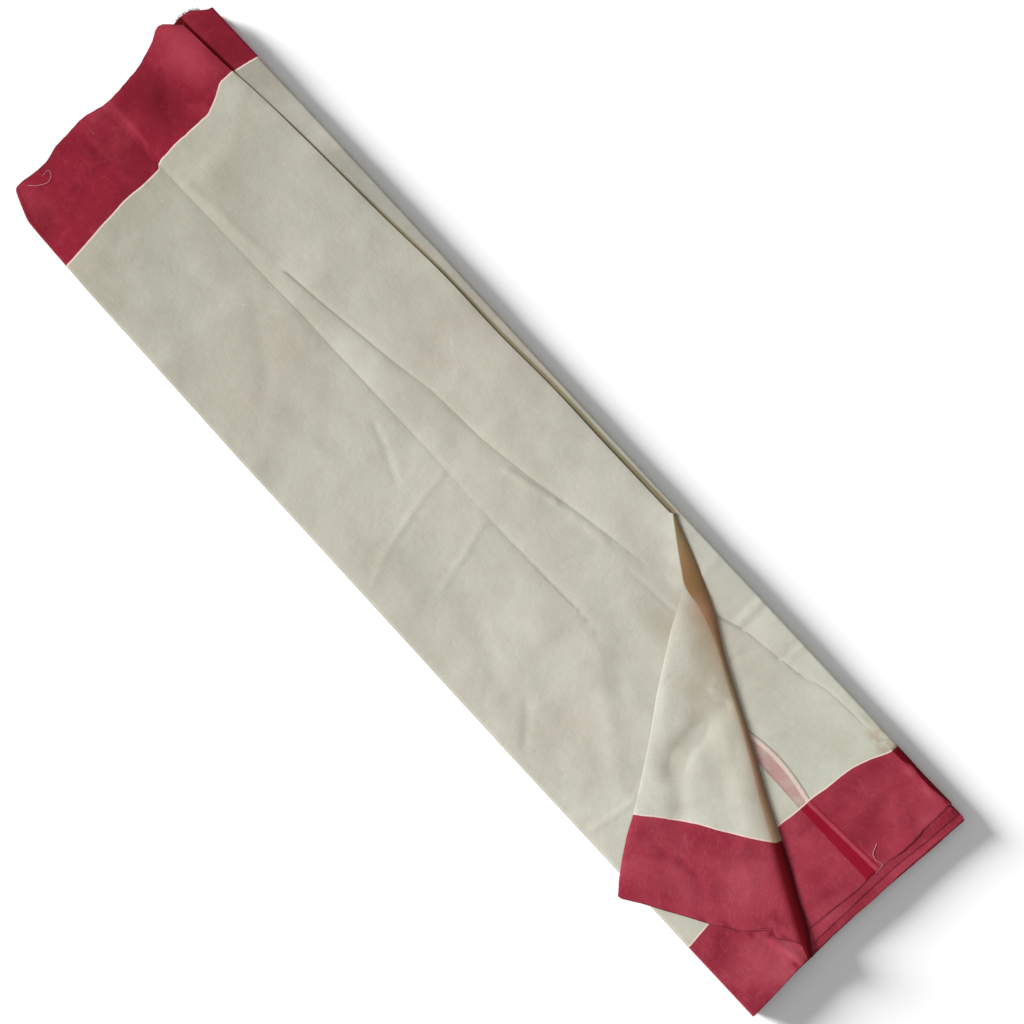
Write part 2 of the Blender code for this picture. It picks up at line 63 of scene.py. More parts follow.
# Reads a table at each place: a smooth curve through its rows, cubic between them.
def smooth(table, places, value=1, key=0):
    rows = np.array(sorted(table, key=lambda row: row[key]))
    xs, ys = rows[:, key], rows[:, value]
    places = np.clip(places, xs[0], xs[-1])
    slopes = np.gradient(ys, xs)
    index = np.clip(np.searchsorted(xs, places) - 1, 0, len(xs) - 2)
    span = xs[index + 1] - xs[index]
    t = (places - xs[index]) / span
    return (
        (2 * t**3 - 3 * t**2 + 1) * ys[index]
        + (t**3 - 2 * t**2 + t) * span * slopes[index]
        + (3 * t**2 - 2 * t**3) * ys[index + 1]
        + (t**3 - t**2) * span * slopes[index + 1]
    )


# Reads a table straight between its rows.
def straight(table, places, value=1, key=0):
    rows = np.array(sorted(table, key=lambda row: row[key]))
    return np.interp(places, rows[:, key], rows[:, value])


# Sum of waves: height * sin(turns along + shift) * cos(turns across).
def waves(table, x, y):
    total = np.zeros(np.shape(x))
    for height, lengthX, lengthY, shift in table:
        along = np.sin(2 * math.pi * x / lengthX + shift)
        total += height * along * np.cos(2 * math.pi * y / lengthY + shift / 2)
    return total


# Sum of creases: height * exp(-(distance to the crease / half width) squared), the distance
# wandering a little so that no crease is quite straight.
def creased(table, x, y):
    total = np.zeros(np.shape(x))
    for number, (x0, y0, x1, y1, height, half) in enumerate(table):
        length = math.hypot(x1 - x0, y1 - y0)
        ux, uy = (x1 - x0) / length, (y1 - y0) / length
        along = (x - x0) * ux + (y - y0) * uy
        across = (y - y0) * ux - (x - x0) * uy + 0.7 * np.sin(along / 11.0 + number)
        past = np.maximum(0.0, np.maximum(-along, along - length))
        total += height * np.exp(-(across**2 + (0.6 * past) ** 2) / half**2)
    return total


# Sum of soft patches: strength * exp(-((distance along / half length) squared + the same across)).
def toned(table, x, y):
    total = np.zeros(np.shape(x))
    for alongAt, acrossAt, halfLength, halfWidth, strength in table:
        total += strength * np.exp(-(((x - alongAt) / halfLength) ** 2 + ((y - acrossAt) / halfWidth) ** 2))
    return np.clip(total, -1.0, 1.0)


# A worn selvedge: three short waves.
def ragged(y, shift):
    return 0.14 * np.sin(y / 1.9 + shift) + 0.16 * np.sin(y / 4.3 + 2 * shift) + 0.2 * np.sin(y / 7.9 + shift)


# A long crease: height * exp(-distance to its line / reach), so that its bottom is a sharp line. Also
# gives the shade painted along its line: darkness * exp(-(distance / 0.9) squared).
def pressed(table, x, y):
    line, height, reach, dark = (straight(table, x, value=column) for column in (1, 2, 3, 4))
    distance = np.abs(y - line)
    return height * np.exp(-np.sqrt(distance**2 + 0.04) / reach), dark * np.exp(-((distance / 0.9) ** 2))


# Uneven rumpling: random heights on a turned square lattice, joined smoothly between its points.
def rumpled(x, y):
    total = np.zeros(np.shape(x))
    for height, spacing, turn, seed in rumples:
        lattice = np.random.default_rng(seed).uniform(-1.0, 1.0, (64, 64))
        u = (x * math.cos(turn) - y * math.sin(turn)) / spacing + 32.0
        v = (x * math.sin(turn) + y * math.cos(turn)) / spacing + 32.0
        column, row = np.floor(u).astype(int), np.floor(v).astype(int)
        u, v = u - column, v - row
        u, v = u**3 * (6 * u**2 - 15 * u + 10), v**3 * (6 * v**2 - 15 * v + 10)
        here, right, up = lattice, np.roll(lattice, -1, 0), np.roll(lattice, -1, 1)
        across = np.roll(up, -1, 0)
        cell = column % 64, row % 64
        near = here[cell] * (1 - u) + right[cell] * u
        far = up[cell] * (1 - u) + across[cell] * u
        total += height * (near * (1 - v) + far * v)
    return total


# What all layers share: long waves and rumpling.
def swell(x, y):
    return waves(swells, x, y) + rumpled(x, y)


# A side turned down: past the start of the roll the cloth follows a circle of the given radius.
def turnedDown(y, z, silhouette, outward, radius):
    edge = silhouette - outward * radius
    past = np.maximum((y - edge) * outward, 0.0)
    turn = past / radius
    rolled = past > 0
    return (
        np.where(rolled, edge + outward * radius * np.sin(turn), y),
        np.where(rolled, z - radius * (1 - np.cos(turn)), z),
    )


# Where each flat point lies between the selvedges, read from the four woven lines at its place across.
def loomPlace(x, *lines):
    for index in range(3):
        low, high = lines[index], lines[index + 1]
        span = wovenLines[index + 1] - wovenLines[index]
        here = wovenLines[index] + (x - low) / (high - low) * span
        place = here if index == 0 else np.where(x > low, here, place)
    return place


# One mesh from points, their places on the loom, four-cornered faces and values for the material.
def addSheet(name, points, uv, faces, values):
    mesh = bpy.data.meshes.new(name)
    mesh.vertices.add(len(points))
    mesh.vertices.foreach_set("co", (points * mm).ravel())
    mesh.loops.add(faces.size)
    mesh.loops.foreach_set("vertex_index", faces.ravel())
    mesh.polygons.add(len(faces))
    mesh.polygons.foreach_set("loop_start", np.arange(0, faces.size, 4))
    mesh.update(calc_edges=True)
    layer = mesh.uv_layers.new(name="loom")
    layer.data.foreach_set("uv", (uv * mm)[faces.ravel()].ravel())
    for key, value in values.items():
        field = mesh.attributes.new(key, "FLOAT", "POINT")
        field.data.foreach_set("value", value.ravel())
    mesh.polygons.foreach_set("use_smooth", np.ones(len(faces), bool))
    mesh.validate()
    sheet = bpy.data.objects.new(name, mesh)
    bpy.context.scene.collection.objects.link(sheet)
    return sheet


# Faces of a grid whose points have these numbers.
def gridFaces(numbers):
    corners = [numbers[:-1, :-1], numbers[1:, :-1], numbers[1:, 1:], numbers[:-1, 1:]]
    return np.stack(corners, -1).reshape(-1, 4)


def thicken(sheet, thickness):
    wall = sheet.modifiers.new("Cloth", "SOLIDIFY")
    wall.thickness = thickness * mm
    wall.offset = 0.0
    wall.use_rim = True
    # Broad faces decide the shading, so that the thin edges throw no light line.
    even = sheet.modifiers.new("Even shading", "WEIGHTED_NORMAL")
    even.weight = 100


# An sRGB hex code as linear colour.
def linear(code):
    parts = [int(code[index : index + 2], 16) / 255 for index in (1, 3, 5)]
    return *(part / 12.92 if part <= 0.04045 else ((part + 0.055) / 1.055) ** 2.4 for part in parts), 1.0


# Adds a node. Its operation may follow its kind. Then come its inputs in order, None leaving one as it
# is, a ramp's stops and its settings. Gives back one of its outputs.
def put(tree, kind, *inputs, output=0, stops=(), **settings):
    kind, _, operation = kind.partition(" ")
    made = tree.nodes.new("ShaderNode" + kind)
    if operation:
        made.operation = operation
    for key, value in settings.items():
        setattr(made, key, value)
    for _ in stops[2:]:
        made.color_ramp.elements.new(0.5)
    for number, (place, code) in enumerate(stops):
        made.color_ramp.elements[number].position = place
        made.color_ramp.elements[number].color = linear(code)
    for socket, value in zip([entry for entry in made.inputs if entry.enabled], inputs):
        if hasattr(value, "is_linked"):
            tree.links.new(value, socket)
        elif value is not None:
            socket.default_value = value
    return [entry for entry in made.outputs if entry.enabled][output]


# 1 between two values and 0 outside, with soft ends.
def band(tree, value, low, high, soft):
    rise = put(tree, "MapRange", value, low - soft, low + soft)
    fall = put(tree, "MapRange", value, high - soft, high + soft)
    return put(tree, "Math SUBTRACT", rise, fall, use_clamp=True)


cottonLooks = {
    # Cream from the head selvedge to the foot selvedge, darker towards the head.
    "topCream": ((0.07, "#AFAD9D"), (0.2, "#B5B4A6"), (0.42, "#BFBDAF"), (0.62, "#C2C0B2"),
                 (0.85, "#CDCDC0")),
    # The under cloth's is darker, most towards the head: painted shade on its strip beside the free side.
    "underCreamShaded": ((0.1, "#9E9E94"), (0.4, "#A3A297"), (0.58, "#B0AFA4"), (0.72, "#BEBFB2"),
                   (0.85, "#C3C5B6")),
    "brown": "#B2A08E",
    "grey": "#A8A696",
    "pale": "#D6D4C6",
    "lint": "#E4E1D8",
    "shadeCream": "#A39A86",
    "lighterMost": 0.6,
    "darkerMost": 0.7,
    "headCrimson": ("#8F2033", "#741624", "#AE3F4F"),
    "footCrimson": ("#A13747", "#862333", "#B5505E"),
    "tick": "#CC7E86",
    "lineColour": "#E6D0C5",
    # Painted shade of the loose fold and the groove: its colour along the fold, blotches in it and its soft
    # edge; crimsonShade is the same painted shade on the crimson.
    "foldShade": ((0.0, "#847D60"), (0.06, "#907B56"), (0.12, "#8F6E4C"), (0.17, "#876744"),
                  (0.22, "#9C765C"), (0.28, "#8F6F51"), (0.4, "#8A7A60"), (0.55, "#8D6D58"),
                  (0.7, "#94795F")),
    "foldShadeBlotch": "#A36A50",
    "foldShadeSoft": "#8F826C",
    "crimsonShade": "#5A0009",
    "blackCrimson": "#330A10",
    "pressShade": "#857F6D",
    "lineShadeMost": 0.8,
    "stain": "#A8967E",
    # Uneven parts: cells a metre across the loom and along it, where each starts and is full, its share,
    # detail, roughness and seed, and its colour.
    "creamPatches": (
        (7, 5, 0.45, 0.75, 0.42, 4.0, 0.55, 3.1, "brown"), (17, 9, 0.46, 0.72, 0.5, 5.0, 0.55, 6.2, "grey"),
        (11, 13, 0.5, 0.74, 0.4, 5.0, 0.55, 9.7, "pale"), (46, 60, 0.5, 0.78, 0.3, 6.0, 0.65, 2.3, "brown"),
    ),
    "crimsonPatches": (
        (15, 19, 0.46, 0.66, 0.75, 4.0, 0.55, 8.4, "dark"),
        (23, 17, 0.5, 0.72, 0.45, 4.0, 0.55, 4.9, "light"),
        (90, 110, 0.5, 0.75, 0.4, 5.0, 0.65, 0.6, "dark"),
        (130, 100, 0.52, 0.76, 0.4, 5.0, 0.65, 5.8, "light"),
    ),
    "weft": (620, 90, 0.42, 0.74, 1.0, 3.0, 0.55, 1.7),
    "warp": (90, 700, 0.46, 0.76, 1.0, 3.0, 0.55, 5.3),
    "streakMost": 0.14,
    "lintSpecks": (330, 290, 0.7, 0.77, 0.4, 2.0, 0.55, 7.9),
    "ticks": (640, 90, 0.56, 0.8, 1.0, 2.0, 0.55, 2.9),
    "darkThreads": (150, 700, 0.5, 0.75, 0.16, 2.0, 0.55, 1.1),
    "tickSpecks": (240, 210, 0.71, 0.78, 0.22, 2.0, 0.55, 3.3),
    "foldShadeBlotches": (60, 60, 0.4, 0.7, 0.2, 4.0, 0.55, 5.5),
    "markNoise": (75, 75, 0.3, 0.62, 0.75, 5.0, 0.7, 2.2),
    "lineWander": (60, 18),
    "crumpling": (95, 75, 6.0, 0.62, 6.6),
    # Threads 0.55 mm apart, drawn at about their real spacing, and heights in the bump.
    "threadPitch": 0.55,
    "weave": 0.05,
    "slub": 0.06,
    "crumple": 0.6,
    "bump": 0.5,
    "bumpDepth": 0.0018,
    "surface": {"Roughness": 0.95, "Sheen Weight": 0.03, "Sheen Roughness": 0.5, "Specular IOR Level": 0.12},
}
stripe = {
    "bowFrom": 948.0,
    "bowTo": 1056.0,
    "bow": 6.9,
    "edgeBow": 0.15,
    "drift": 0.055,
    "inner": 41.8,
    # From, to and softness across the loom, then each part's share and colour on the cream and the crimson.
    "parts": {"wide": (41.8, 50.3, 0.5), "pale": (50.3, 53.8, 0.5), "thin": (54.7, 56.5, 0.4),
              "edge": (41.2, 42.6, 0.4)},
    "onCream": (("faded", 0.85, "#B98A88"), ("edge", 0.5, "#9C6A66"), ("pale", 0.85, "#DFC4BA"),
                ("thin", 0.75, "#8E7F74")),
    "onCrimson": (("wide", 0.92, "#8F0822"), ("pale", 0.5, "#B84C5A"), ("thin", 0.8, "#8B1629")),
    "fading": (60, 75, 0.45, 0.7, 0.5, 5.0, 0.55, 7.1),
    "waver": (120, 160),
    "spotAcross": (144.0, 170.0, 3.0),
    "spotLoom": (1024.0, 1056.0, 5.0),
    "blot": (110, 90, 0.38, 0.54, 0.6, 5.0, 0.7, 4.4),
}


# Handloom cotton: cream field and crimson selvedge borders in one weave. The eye sees a matt, slightly
# uneven cream with fine threads both ways, a pale line where the crimson warp starts, and crimson
# ticked with the lighter weft.
def cotton(name, looks, creamStops, endStripe=False):
    material = bpy.data.materials.new(name)
    material.use_nodes = True
    tree = material.node_tree
    add = partial(put, tree)
    uv = add("UVMap", uv_map="loom")
    metres = add("SeparateXYZ", uv).node.outputs
    acrossCloth, loom = (add("Math MULTIPLY", metres[axis], 1000.0) for axis in (0, 1))
    tone, shadeAndDarkStrip, lineShade, foldPlace = (
        add("Attribute", output=2, attribute_name=key) for key in ("tone", "shadeAndDarkStrip", "lineShade", "foldPlace")
    )

    # Soft noise, its cells narrowed across the loom and along it.
    def uneven(across, along, detail=3.0, roughness=0.55, seed=0.0):
        place = add("Mapping", uv, (seed, seed * 0.7, seed * 1.3), None, (across, along, 1.0))
        return add("TexNoise", place, 1.0, detail, roughness)

    def patches(across, along, start, full, most, detail, roughness, seed):
        return add("MapRange", uneven(across, along, detail, roughness, seed), start, full, 0.0, most)

    # Colours laid over the first one, each by its share.
    def laid(colour, *coats):
        for share, coat in coats:
            colour = add("Mix", share, colour, coat, data_type="RGBA")
        return colour

    # Cream: long soft patches, small mottling, threads, specks of lint and what the tables lighten and
    # darken, some of it painted light and shade.
    lighter = add("Math MAXIMUM", tone, 0.0)
    darker = add("Math MULTIPLY", add("Math MINIMUM", tone, 0.0), -1.0)
    weft, warp = patches(*looks["weft"]), patches(*looks["warp"])
    cream = laid(
        add("ValToRGB", add("Math DIVIDE", loom, wovenLines[3]), stops=creamStops),
        *[(patches(*row[:-1]), linear(looks[row[-1]])) for row in looks["creamPatches"]],
        (add("Math MULTIPLY", weft, looks["streakMost"]), linear(looks["pale"])),
        (add("Math MULTIPLY", warp, looks["streakMost"]), linear(looks["grey"])),
        (patches(*looks["lintSpecks"]), linear(looks["lint"])),
        (add("Math MULTIPLY", lighter, looks["lighterMost"]), linear(looks["pale"])),
        (add("Math MULTIPLY", darker, looks["darkerMost"]), linear(looks["shadeCream"])),
    )

    # Crimson: one shade at the head and a paler one at the foot, each with darker and lighter patches
    # and fine ticks of weft.
    toFoot = add("MapRange", loom, 200.0, 900.0)
    plain, dark, light = (
        laid(linear(head), (toFoot, linear(foot)))
        for head, foot in zip(looks["headCrimson"], looks["footCrimson"])
    )
    reds = {"dark": dark, "light": light}
    tickShare = add("Math MULTIPLY_ADD", toFoot, 0.08 if endStripe else 0.16, 0.02)
    crimson = laid(
        plain,
        *[(patches(*row[:-1]), reds[row[-1]]) for row in looks["crimsonPatches"]],
        (lighter, light),
        (darker, dark),
        (add("Math MULTIPLY", patches(*looks["ticks"]), tickShare), linear(looks["tick"])),
        (patches(*looks["darkThreads"]), dark),
        (patches(*looks["tickSpecks"]), linear(looks["tick"])),
    )

    if endStripe:
        # The stripe bows outwards before the border and spreads on through it: its outer lines move by
        # the whole shift, its inner edge hardly.
        inner = stripe["inner"]
        turn = add("MapRange", loom, stripe["bowFrom"], stripe["bowTo"], 0.0, math.pi)
        past = add("Math MAXIMUM", add("Math SUBTRACT", loom, wovenLines[2]), 0.0)
        drifted = add("Math MULTIPLY", past, stripe["drift"])
        shift = add("Math MULTIPLY_ADD", add("Math SINE", turn), stripe["bow"], drifted)
        waver = add("Math MULTIPLY_ADD", uneven(*stripe["waver"], seed=3.9), 1.6, -0.8)
        across = add("Math ADD", acrossCloth, waver)
        fromInner = add("Math MULTIPLY_ADD", shift, -stripe["edgeBow"], add("Math SUBTRACT", across, inner))
        growth = (1 - stripe["edgeBow"]) / (stripe["parts"]["wide"][1] - inner)
        spread = add("Math MULTIPLY_ADD", shift, growth, 1.0)
        inside = add("Math ADD", add("Math DIVIDE", fromInner, spread), inner)
        place = add("Math MAXIMUM", inside, add("Math SUBTRACT", across, shift))
        parts = {key: band(tree, place, *row) for key, row in stripe["parts"].items()}
        kept = add("Math SUBTRACT", 1.0, patches(*stripe["fading"]))
        parts["faded"] = add("Math MULTIPLY", parts["wide"], kept)
        cream, crimson = (
            laid(ground, *[
                (add("Math MULTIPLY", parts[key], most), linear(code)) for key, most, code in stripe[on]
            ])
            for ground, on in ((cream, "onCream"), (crimson, "onCrimson"))
        )
        # A small stain at the right edge, just before the border.
        atEdge, atLine = band(tree, acrossCloth, *stripe["spotAcross"]), band(tree, loom, *stripe["spotLoom"])
        spot = add("Math MULTIPLY", add("Math MULTIPLY", atEdge, atLine), patches(*stripe["blot"]))
        cream = laid(cream, (spot, linear(looks["stain"])))

    # The woven lines wander a little; a pale thread runs between cream and crimson.
    line = add("Math MULTIPLY_ADD", uneven(*looks["lineWander"]), 2.2, add("Math SUBTRACT", loom, 1.1))
    field = band(tree, line, wovenLines[1], wovenLines[2], 0.35)
    paleHead = band(tree, line, wovenLines[1] - 0.3, wovenLines[1] + 1.3, 0.3)
    paleFoot = band(tree, line, wovenLines[2] - 1.3, wovenLines[2] + 0.3, 0.3)
    paleLines = add("Math ADD", paleHead, paleFoot, use_clamp=True)

    # Painted shade: the creases' sharp dark lines and the rolled left side, and the warm shade of the
    # loose fold and the groove. On the under cloth the same mix lays the dark strip down the border's
    # right edge.
    foldShade = laid(add("ValToRGB", foldPlace, stops=looks["foldShade"]),
                     (patches(*looks["foldShadeBlotches"]), linear(looks["foldShadeBlotch"])))
    foldShade = laid(linear(looks["foldShadeSoft"]), (shadeAndDarkStrip, foldShade))
    colour = laid(
        crimson,
        (field, cream),
        (paleLines, linear(looks["lineColour"])),
        (add("Math MULTIPLY", lineShade, looks["lineShadeMost"]), laid(dark, (field, linear(looks["pressShade"])))),
        (shadeAndDarkStrip, laid(linear(looks["crimsonShade"]), (field, foldShade))),
    )

    # The deepest marks and both selvedges go almost black red.
    deep = add("Math MULTIPLY_ADD", darker, 6.0, -5.28, use_clamp=True)
    headRim = band(tree, loom, -9.0, 1.0, 0.5)
    footRim = band(tree, loom, wovenLines[3] - 1.0, 1200.0, 0.5)
    marks = add("Math MAXIMUM", deep, add("Math ADD", headRim, footRim))
    marks = add("Math MULTIPLY", marks, patches(*looks["markNoise"]))
    marks = add("Math MULTIPLY", marks, add("Math SUBTRACT", 1.0, field))
    colour = laid(colour, (marks, linear(looks["blackCrimson"])))

    # Threads over and under each other, hand-spun and uneven, and the cloth's fine crumpling.
    pitch = 2 * math.pi / (looks["threadPitch"] * mm)
    warpWave, weftWave = (add("Math SINE", add("Math MULTIPLY", metres[axis], pitch)) for axis in (0, 1))
    height = add("Math MULTIPLY", uneven(*looks["crumpling"]), looks["crumple"])
    height = add("Math MULTIPLY_ADD", add("Math ADD", weft, warp), looks["slub"], height)
    height = add("Math MULTIPLY_ADD", add("Math MULTIPLY", warpWave, weftWave), looks["weave"], height)
    shader = tree.nodes["Principled BSDF"]
    tree.links.new(add("Bump", looks["bump"], looks["bumpDepth"], None, height), shader.inputs["Normal"])
    tree.links.new(colour, shader.inputs["Base Color"])
    for key, value in looks["surface"].items():
        shader.inputs[key].default_value = value
    return material


# The top cloth and its turned-back corner, as one sheet.
topCloth = {
    "rows": 352,
    "rollColumns": 12,
    "leftColumns": 38,
    "middleColumns": 17,
    "rightColumns": 29,
    "foldColumns": 16,
    "flapColumns": 56,
    "thickness": 0.5,
    "base": 14.2,
    "deepest": -1.95,
    "pressDepth": 1.5,
    "sideRoll": 3.2,
    "freeDroop": 0.7,
    "freeReach": 5.0,
    "foldRise": 1.3,
    "foldSag": 1.2,
    "flapRest": 2.6,
    "flapSettle": 11.0,
    "flapRound": 1.7,
    "flapRoundReach": 7.0,
    "droop": 0.006,
    "headDroop": 0.006,
    # Along the fold: how far its painted warm shade reaches past the turn, how softly it ends, and how
    # far the lighter painted shade beside it fades.
    "shadeReach": ((0.0, 0.3), (30.0, 0.8), (76.0, 1.3), (90.0, 1.2), (100.0, 0.1), (340.0, 0.1),
                  (366.0, 1.0)),
    "shadeSoft": ((0.0, 0.5), (96.0, 1.6), (340.0, 1.6), (380.0, 9.0)),
    "shadeFade": ((90.0, 24.0), (130.0, 18.0), (190.0, 12.0), (260.0, 7.0), (480.0, 6.0)),
    "shadeBeside": 0.82,
}
freeSide = (
    (-578.0, 122.3), (-507.7, 127.4), (-486.7, 129.7), (-410.0, 134.9), (-291.4, 140.2),
    (-203.2, 145.6), (-111.8, 146.6), (-33.1, 149.9), (46.7, 150.2), (146.0, 151.7),
)
# Selvedges and woven lines: across, along.
topHeadEdge = (
    (-135.0, -560.0), (-123.4, -569.6), (-110.8, -570.7), (-97.0, -569.4), (-80.3, -569.6),
    (-63.5, -573.8), (-39.4, -575.9), (-22.6, -577.0), (-5.8, -573.8), (13.1, -571.7),
    (29.9, -572.8), (57.2, -577.0), (85.6, -586.4), (103.4, -594.8), (122.3, -578.0), (160.0, -572.0),
)
topHeadLine = (
    (-145.0, -474.0), (-115.0, -476.2), (-92.9, -478.8), (-69.8, -481.4), (-48.8, -483.5),
    (-23.6, -482.5), (1.0, -483.5), (4.0, -487.7), (10.0, -489.8), (26.8, -490.9), (54.1, -490.9),
    (76.1, -490.4), (86.6, -494.0), (97.1, -499.3), (109.7, -507.7), (128.0, -507.7),
)
topFootLine = ((-145.0, 495.1), (-75.0, 486.0), (0.0, 476.7))
topFootEdge = ((-145.0, 594.8), (-100.0, 592.0), (-54.0, 588.0))
# The turned-back corner: its fold, the fold's sections (distance along, crest, outermost, height) and
# its cut side and selvedge (distance along the fold, distance off it).
foldStart = np.array([148.6, 154.9])
foldEnd = np.array([587.5, -53.0])
foldSections = np.array((
    (0.0, -1.5, 0.5, 1.6), (27.0, -5.0, 3.4, 2.2), (58.0, -9.0, 6.4, 3.2), (76.0, -10.5, 7.9, 4.2),
    (97.0, -5.6, 9.2, 4.9), (118.0, -1.6, 9.9, 5.0), (135.0, 0.6, 8.4, 4.5), (158.0, 1.1, 6.8, 4.1),
    (190.0, 0.4, 6.5, 3.8), (222.0, 0.9, 6.7, 3.7), (275.0, -0.3, 6.2, 3.6), (318.0, -2.8, 5.5, 3.6),
    (352.0, -2.9, 5.8, 3.6), (390.0, -3.4, 6.3, 3.7), (430.0, -4.2, 4.8, 3.8), (462.0, -4.4, 4.8, 3.8),
    (486.0, -4.2, 1.0, 3.7),
))
cornerCut = (
    (0.0, -2.2), (27.5, -6.8), (58.5, -10.9), (76.3, -14.2), (86.0, -19.7), (100.8, -28.9),
    (116.6, -40.1), (143.4, -55.2), (180.2, -76.2), (216.4, -93.9), (252.6, -113.9), (289.2, -135.0),
    (308.2, -148.0), (330.6, -160.3), (349.4, -169.3), (367.0, -176.0),
)
cornerSelvedge = (
    (368.4, -176.5), (381.3, -154.2), (396.4, -132.2), (409.8, -111.6), (423.6, -92.0), (434.1, -72.9),
    (441.5, -60.5), (444.0, -50.0), (448.0, -31.5), (457.8, -31.0), (466.0, -15.0), (472.8, -6.6),
    (486.0, -5.4),
)
cornerEnd = cornerCut + cornerSelvedge
cornerLine = (
    (361.8, -2.0), (349.5, -25.0), (335.3, -48.4), (318.8, -74.1), (303.6, -103.3), (289.2, -135.0),
)
# Long pressed creases: along, across, height (below zero sinks), reach to each side, darkness of the
# shade painted along its line.
centreCrease = (
    (-577.0, 0.8, -0.5, 5.0, 0.0), (-557.0, 1.6, -0.7, 6.0, 0.1), (-486.7, 3.7, -1.0, 7.0, 0.1),
    (-458.0, 4.2, -1.1, 9.0, 0.2), (-378.0, 5.2, -1.0, 10.0, 0.3), (-270.0, 6.8, -1.4, 8.0, 0.6),
    (-160.0, 8.0, -1.2, 8.0, 0.5), (-53.0, 8.9, -0.5, 6.0, 0.1), (0.0, 8.3, -0.3, 6.0, 0.0),
    (50.9, 7.9, -1.1, 7.0, 0.3), (110.0, 9.0, -1.3, 10.0, 0.65), (159.1, 11.0, -0.9, 8.0, 0.6),
    (208.4, 5.8, -0.2, 6.0, 0.0), (260.0, 4.0, 0.0, 6.0, 0.0),
)
slantCrease = (
    (-600.0, 24.0, 0.0, 3.0, 0.0), (-318.0, 25.2, 0.0, 3.0, 0.0), (-311.0, 26.0, -0.9, 2.5, 1.0),
    (-268.3, 31.0, -1.0, 3.0, 0.8), (-168.5, 44.6, -1.0, 4.0, 0.7), (-117.1, 54.1, -1.1, 4.5, 0.4),
    (-43.6, 58.3, -1.3, 6.0, 0.5), (17.3, 67.7, -1.4, 7.0, 0.6), (66.7, 77.2, -1.4, 6.0, 0.7),
    (115.0, 86.6, -1.3, 6.0, 0.8), (149.6, 91.9, -0.9, 6.0, 0.5), (175.0, 95.0, 0.0, 6.0, 0.0),
)
# Short creases: start along, start across, end along, end across, height, half width.
topCreases = (
    (-460.0, 12.0, -340.0, 22.0, 0.4, 5.0), (-1.6, 57.1, 55.1, 70.8, 0.9, 3.0),
    (55.1, 71.8, 120.0, 83.0, 0.8, 3.0), (162.2, 78.2, 223.1, 85.6, -0.5, 2.0),
    (-47.5, 5.3, -36.2, -54.1, 0.5, 2.8), (-36.2, -54.1, -24.0, -100.0, 0.5, 2.8),
    (-24.0, -100.0, -11.0, -126.0, 0.4, 2.8), (22.6, -2.6, 34.1, -45.7, 0.5, 2.8),
    (34.1, -45.7, 42.5, -79.3, 0.4, 2.8), (-131.8, -14.2, -73.0, -37.3, -0.7, 2.8),
    (192.7, -97.1, 221.0, -123.4, -0.7, 4.0), (336.5, -131.8, 341.8, -77.2, 0.6, 2.6),
    (-550.7, -46.7, -516.1, -32.0, 0.8, 3.2), (-516.1, -32.0, -484.6, -22.6, 0.7, 3.2),
    (-540.0, 62.0, -505.0, 40.0, -0.6, 7.0), (-420.0, -60.0, -340.0, -40.0, -0.5, 9.0),
    (-220.0, -90.0, -120.0, -70.0, 0.6, 10.0), (60.0, -60.0, 150.0, -100.0, -0.6, 12.0),
    (230.0, -20.0, 300.0, -70.0, 0.7, 12.0), (-160.0, 90.0, -40.0, 110.0, -0.5, 12.0),
    (-330.0, -10.0, -250.0, -60.0, -0.35, 9.0), (-250.0, -60.0, -205.0, -112.0, -0.3, 9.0),
    (-395.0, 70.0, -330.0, 98.0, 0.5, 9.0), (385.0, -92.0, 440.0, -120.0, -0.5, 6.0),
    (551.8, -72.8, 583.3, -64.8, 1.5, 4.0), (505.0, -118.0, 560.0, -96.0, 0.6, 7.0),
)
flapCreases = (
    (334.0, 56.2, 337.0, 14.0, -1.7, 11.0), (337.0, 14.0, 343.0, -18.0, -1.8, 11.0),
    (343.0, -18.0, 392.0, -60.0, -1.7, 12.0), (271.1, 33.5, 301.0, 64.6, -1.0, 2.6),
    (314.0, 57.9, 328.2, 65.0, 1.3, 2.8), (317.0, 52.0, 333.0, 61.0, -1.0, 3.0),
    (352.0, 36.0, 440.0, -6.0, 1.1, 10.0), (262.0, 40.0, 300.0, 0.0, 0.7, 9.0),
    (394.4, -94.9, 424.3, -86.3, -1.1, 4.0), (424.3, -86.3, 445.2, -85.5, -1.1, 4.0),
    (445.2, -85.5, 477.3, -107.1, -1.0, 5.0), (376.0, -118.0, 394.4, -94.9, -0.6, 4.0),
    (455.0, -30.0, 500.0, -62.0, 0.8, 10.0), (420.0, -40.0, 470.0, -60.0, 0.7, 9.0),
)
topWaves = ((0.35, 210.0, 170.0, 0.3), (0.22, 118.0, 96.0, 1.9))
